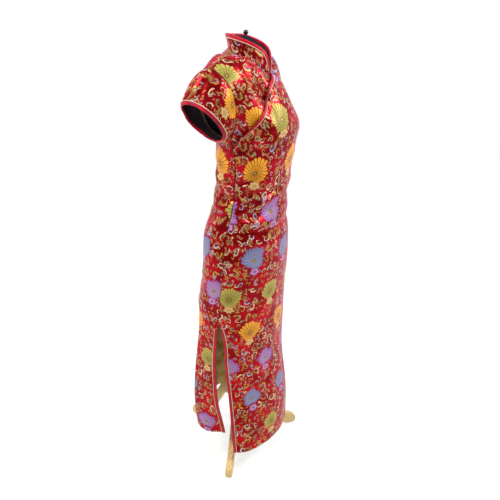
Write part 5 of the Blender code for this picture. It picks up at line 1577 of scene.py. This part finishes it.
def build_form():
    """The limbless form: the dress's own cut, plain and smaller, closed all round."""
    _, quarters = cut_dress()
    blocks = {}
    for name, front in (("front", True), ("back", False)):
        blocks[name] = skirt_block(front, False, FORM_BOTTOM)
        low = blocks[name][0][:1]
        bottom = np.concatenate([from_pole((0, 0, FORM_BOTTOM)) + 0 * low, low])
        blocks[f"bottom {name}"] = (bottom, np.zeros((*bottom.shape[:2], 2)))
    for key, quarter in quarters.items():
        blocks[f"bodice {key}"] = quarter.whole()
    k = np.linspace(0, 1, 9)[:, None, None]
    for side in (-1, 1):
        ring = armhole_ring(quarters, side)
        centre = ring[:-1].mean(axis=0) + (0.004 * side, 0, 0)
        plate = ring * (1 - k) + centre * k
        plate[0], plate[-1] = ring, centre
        plate = plate[:, ::-1] if side > 0 else plate
        blocks[f"arm plate {side}"] = (plate, np.zeros((*plate.shape[:2], 2)))
    ring = neckline_ring(quarters)
    top = collar_top_at(np.linspace(1, -1, len(ring)))
    top[[0, -1], 0] = 0.0
    top = from_pole(top)
    middle = from_pole(NECK_CAP)
    rise = ring + (top - ring) * k
    rise[0] = ring
    dome = middle + (top - middle) * (1 - k[1:])
    dome[..., 2] += 0.0035 * np.sin(math.pi * k[1:, :, 0])
    dome[-1] = middle
    neck = np.concatenate([rise, dome])
    blocks["neck"] = (neck, np.zeros((*neck.shape[:2], 2)))
    sheet = Sheet(blocks)
    normals = shared_normals([sheet], [sheet.points])[0]
    inset = np.interp(sheet.points[:, 2], *zip(*FORM_INSET))
    points = sheet.points - normals * inset[:, None]
    points[sheet.points[:, 2] < FORM_BOTTOM + 0.001, 2] = FORM_BOTTOM
    faces, _ = without_doubles(sheet.quads, sheet.flats)
    add_object("jersey_form", mesh_from("jersey_form", points, faces), [material("jersey")],
               ("form_body",))
    knob = turned("neck_finial", KNOB_PROFILE, KNOB_AT)
    add_object("neck_finial", knob, [material("knob")], ("neck_knob",))


def leg_mesh(name, angle):
    """One flat curved leg with softened edges, standing out from the hub on its foot."""
    outline = np.array(LEG_OUTLINE)
    before, after, beyond = (np.roll(outline, shift, axis=0) for shift in (1, -1, -2))
    smooth = []
    for a, b, c, d in zip(before, outline, after, beyond):
        for t in np.arange(0, 1, 0.2):
            smooth.append(0.5 * (2 * b + (c - a) * t + (2 * a - 5 * b + 4 * c - d) * t**2
                                 + (3 * b - a - 3 * c + d) * t**3))
    smooth = np.array(smooth[:-5])
    smooth[:, 0] = np.maximum(smooth[:, 0], LEG_OUTLINE[0][0])
    smooth[:, 1] = np.maximum(smooth[:, 1], 0.0)
    kept = [k for k in range(len(smooth)) if np.linalg.norm(smooth[k] - smooth[k - 1]) > 1e-4]
    smooth = smooth[kept]
    shape = bmesh.new()
    half = LEG_THICKNESS / 2
    corners = [shape.verts.new((radius, -half, height)) for radius, height in smooth]
    face = shape.faces.new(corners)
    made = bmesh.ops.extrude_face_region(shape, geom=[face])["geom"]
    moved = [part for part in made if isinstance(part, bmesh.types.BMVert)]
    bmesh.ops.translate(shape, vec=(0, 2 * half, 0), verts=moved)
    flat = [e for e in shape.edges if abs(e.verts[0].co.y - e.verts[1].co.y) < 1e-6]
    bmesh.ops.bevel(
        shape, geom=flat, offset=LEG_ROUNDING, segments=3, affect="EDGES", clamp_overlap=True)
    mesh = bpy.data.meshes.new(name)
    shape.to_mesh(mesh)
    shape.free()
    places = np.array([v.co for v in mesh.vertices])
    lean = math.radians(GRAIN_LEAN)
    along = places[:, 0] * math.cos(lean) - places[:, 2] * math.sin(lean) + angle * 0.01
    across = places[:, 0] * math.sin(lean) + places[:, 2] * math.cos(lean)
    mark_grain(mesh, np.stack([along, across, places[:, 1] + angle * 0.003], axis=1))
    turn = Matrix.Rotation(math.radians(angle), 4, "Z")
    mesh.transform(Matrix.Translation((0, AXIS_Y, 0)) @ turn)
    return faced_outwards(mesh)


def build_stand():
    meshes = {name: leg_mesh(f"{name}_wood", angle) for name, angle in LEG_ANGLES.items()}
    radius, top, bottom = POLE_RADIUS, FORM_BOTTOM - SKIN_GAP, HUB_TOP + SKIN_GAP
    pole = [(0, top), (radius, top), (radius, 0.46), (radius, bottom), (0, bottom)]
    meshes["pole"] = turned("pole_wood", pole, (0, 0))
    turns = np.linspace(0, math.pi / 2, 5)
    rounded = [
        (HUB_RADIUS - HUB_ROUNDING + HUB_ROUNDING * math.sin(a), HUB_ROUNDING * (1 - math.cos(a)))
        for a in turns
    ]
    hub = [(0, HUB_TOP), *[(r, HUB_TOP - drop) for r, drop in rounded]]
    hub += [(r, HUB_BOTTOM + drop) for r, drop in reversed(rounded)] + [(0, HUB_BOTTOM)]
    meshes["hub"] = turned("hub_wood", hub, (0, 0))
    for name, mesh in meshes.items():
        add_object(f"{name}_wood", mesh, [material("wood")], (name,))


# ---------------------------------------------------------------- the stage
CAMERA_ROUND, CAMERA_TILT = -67, 20.4          # degrees round the object, and downwards
CAMERA_HEIGHT, CAMERA_AWAY, CAMERA_SIDE = 1.30, 1.61, 0.039
CAMERA_SENSOR, CAMERA_LENS = 36.0, 39.6
LAMPS = (
    # name, towards the camera, to its right, up, size, power, colour
    ("left", 0.9, -1.7, 2.0, 0.6, 62, (1.0, 0.95, 0.94)),
    ("right", 0.4, 1.9, 1.5, 0.6, 46, (0.95, 0.95, 1.0)),
    ("top", 0.7, 0.0, 2.5, 0.8, 18, (1, 1, 1)),
)


def build_stage():
    scene = bpy.context.scene
    floor = mesh_from("floor", [(-9, -9, 0), (9, -9, 0), (9, 9, 0), (-9, 9, 0)], [[0, 1, 2, 3]])
    shader = Shader("pale_floor")
    grey = shader.noise(shader.object_place(), 3.0, 2.0)
    pale = shader.mix(grey, (0.32, 0.32, 0.32), (0.30, 0.30, 0.305))
    floor.materials.append(
        shader.finish(pale, 0.6, Emission_Color=(1, 1, 1, 1), Emission_Strength=0.74))
    ground = bpy.data.objects.new("floor", floor)
    scene.collection.objects.link(ground)

    azimuth, tilt = math.radians(CAMERA_ROUND), math.radians(CAMERA_TILT)
    right = Vector((math.cos(azimuth), math.sin(azimuth), 0))
    toward = Vector((math.sin(azimuth), -math.cos(azimuth), 0))
    forward = -toward * math.cos(tilt) - Vector((0, 0, math.sin(tilt)))
    up = right.cross(forward)
    camera = bpy.data.cameras.new("camera")
    camera.sensor_width, camera.lens = CAMERA_SENSOR, CAMERA_LENS
    seen = bpy.data.objects.new("camera", camera)
    place = Vector((0, AXIS_Y, CAMERA_HEIGHT)) + toward * CAMERA_AWAY + right * CAMERA_SIDE
    turn = Matrix((right, up, -forward)).transposed().to_4x4()
    seen.matrix_world = Matrix.Translation(place) @ turn
    scene.collection.objects.link(seen)
    scene.camera = seen

    middle = Vector((0, 0, 0.8))
    for name, ahead, aside, high, size, power, tone in LAMPS:
        light = bpy.data.lights.new(name, "AREA")
        light.shape, light.size, light.size_y = "RECTANGLE", size, size
        light.energy, light.color = power, tone
        body = bpy.data.objects.new(name, light)
        body.location = middle + toward * ahead + right * aside + Vector((0, 0, high))
        body.rotation_euler = (middle - body.location).to_track_quat("-Z", "Y").to_euler()
        scene.collection.objects.link(body)
    world = scene.world or bpy.data.worlds.new("world")
    scene.world = world
    world.use_nodes = True
    tree = world.node_tree
    sight = tree.nodes.new("ShaderNodeTexCoord")
    facing = tree.nodes.new("ShaderNodeVectorMath")
    facing.operation = "DOT_PRODUCT"
    facing.inputs[1].default_value = -toward
    share = tree.nodes.new("ShaderNodeMapRange")
    share.interpolation_type = "SMOOTHSTEP"
    for k, value in enumerate((-0.10, 0.40, 0.18, 1.0), 1):
        share.inputs[k].default_value = value
    tree.links.new(sight.outputs["Generated"], facing.inputs[0])
    tree.links.new(facing.outputs["Value"], share.inputs[0])
    tree.links.new(share.outputs[0], tree.nodes["Background"].inputs["Strength"])
    tree.nodes["Background"].inputs["Color"].default_value = (1, 1, 1, 1)
    scene.view_settings.view_transform = "Standard"


# ---------------------------------------------------------------- the add-on
def length(name, text, value):
    return bpy.props.FloatProperty(
        name=name, description=text, default=value, unit="LENGTH", precision=4)


def colour(name, text, value):
    return bpy.props.FloatVectorProperty(
        name=name, description=text, default=value, subtype="COLOR", size=3, min=0.0, max=1.0)


class CheongsamSizes(bpy.types.PropertyGroup):
    """Sizes of the woven pattern and of the sewing."""

    column_step: length("Flower columns", "From one large flower to the next in its row", 0.142)
    row_step: length("Flower rows", "From one row of large flowers to the next", 0.1165)
    flower_width: length("Flower width", "Width of a large flower", 0.078)
    weave_step: length("Weave", "From one float of the satin to the next", 0.0009)
    stitch_pitch: length("Stitch pitch", "From one stitch of a binding to the next", 0.0034)


class CheongsamColours(bpy.types.PropertyGroup):
    """Colours of the cloth, the trims, the form and the stand."""

    ground: colour("Ground", "Crimson satin ground", (0.470, 0.004, 0.017))
    ground_deep: colour("Deep ground", "Where the ground lies darker", (0.230, 0.002, 0.003))
    orange: colour("Orange", "Orange flowers", (0.860, 0.370, 0.012))
    blue: colour("Blue", "Lavender-blue flowers", (0.135, 0.165, 0.350))
    chartreuse: colour("Chartreuse", "Yellow-green flowers", (0.430, 0.390, 0.065))
    purple: colour("Purple", "Purple flowers", (0.270, 0.100, 0.360))
    gold: colour("Gold", "Gold thread", (0.520, 0.330, 0.085))
    cream: colour("Cream", "Cream thread and piping", (0.800, 0.560, 0.390))
    binding: colour("Binding", "Crimson satin binding", (0.560, 0.006, 0.024))
    navy: colour("Navy", "Jersey of the form", (0.006, 0.006, 0.011))
    wood: colour("Wood", "Golden wood of the stand", (0.800, 0.590, 0.230))


def operator(name, label, text, build):
    """An operator that makes one group of pieces."""
    def execute(self, context):
        build()
        return {"FINISHED"}
    return type(f"CHEONGSAM_OT_{name}", (bpy.types.Operator,), {
        "__doc__": text, "bl_idname": f"cheongsam.{name}", "bl_label": label, "execute": execute,
    })


OPERATORS = (
    operator("cloth", "Cloth pieces", "Make the brocade panels, sleeves and collar", build_cloth),
    operator("trims", "Bindings and piping", "Bind the edges and lay the piping", build_trims),
    operator("stitching", "Stitching", "Sew the bindings and hems", build_stitching),
    operator("frogs", "Frog buttons", "Make the knots and their loops", build_frogs),
    operator("zip", "Side zip", "Set the concealed zip", build_zip),
    operator("form", "Dress form", "Make the limbless form and its finial", build_form),
    operator("stand", "Stand", "Make the pole, hub and legs", build_stand),
    operator("stage", "Stage", "Set the floor, the lights and the camera", build_stage),
)


class CHEONGSAM_PT_panel(bpy.types.Panel):
    """Sizes, colours and buttons of the cheongsam."""

    bl_label, bl_idname = "Cheongsam", "CHEONGSAM_PT_panel"
    bl_space_type, bl_region_type, bl_category = "VIEW_3D", "UI", "Cheongsam"

    def draw(self, context):
        for group in (context.scene.cheongsam_sizes, context.scene.cheongsam_colours):
            for name in group.__annotations__:
                self.layout.prop(group, name)
        for kind in OPERATORS:
            self.layout.operator(kind.bl_idname)


CLASSES = (CheongsamSizes, CheongsamColours, *OPERATORS, CHEONGSAM_PT_panel)


def register():
    for kind in CLASSES:
        bpy.utils.register_class(kind)
    bpy.types.Scene.cheongsam_sizes = bpy.props.PointerProperty(type=CheongsamSizes)
    bpy.types.Scene.cheongsam_colours = bpy.props.PointerProperty(type=CheongsamColours)


def unregister():
    del bpy.types.Scene.cheongsam_colours
    del bpy.types.Scene.cheongsam_sizes
    for kind in reversed(CLASSES):
        bpy.utils.unregister_class(kind)


def main():
    register()
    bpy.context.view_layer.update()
    for kind in OPERATORS:
        group, name = kind.bl_idname.split(".")
        getattr(getattr(bpy.ops, group), name)()
    bpy.context.view_layer.update()


if __name__ == "__main__":
    main()
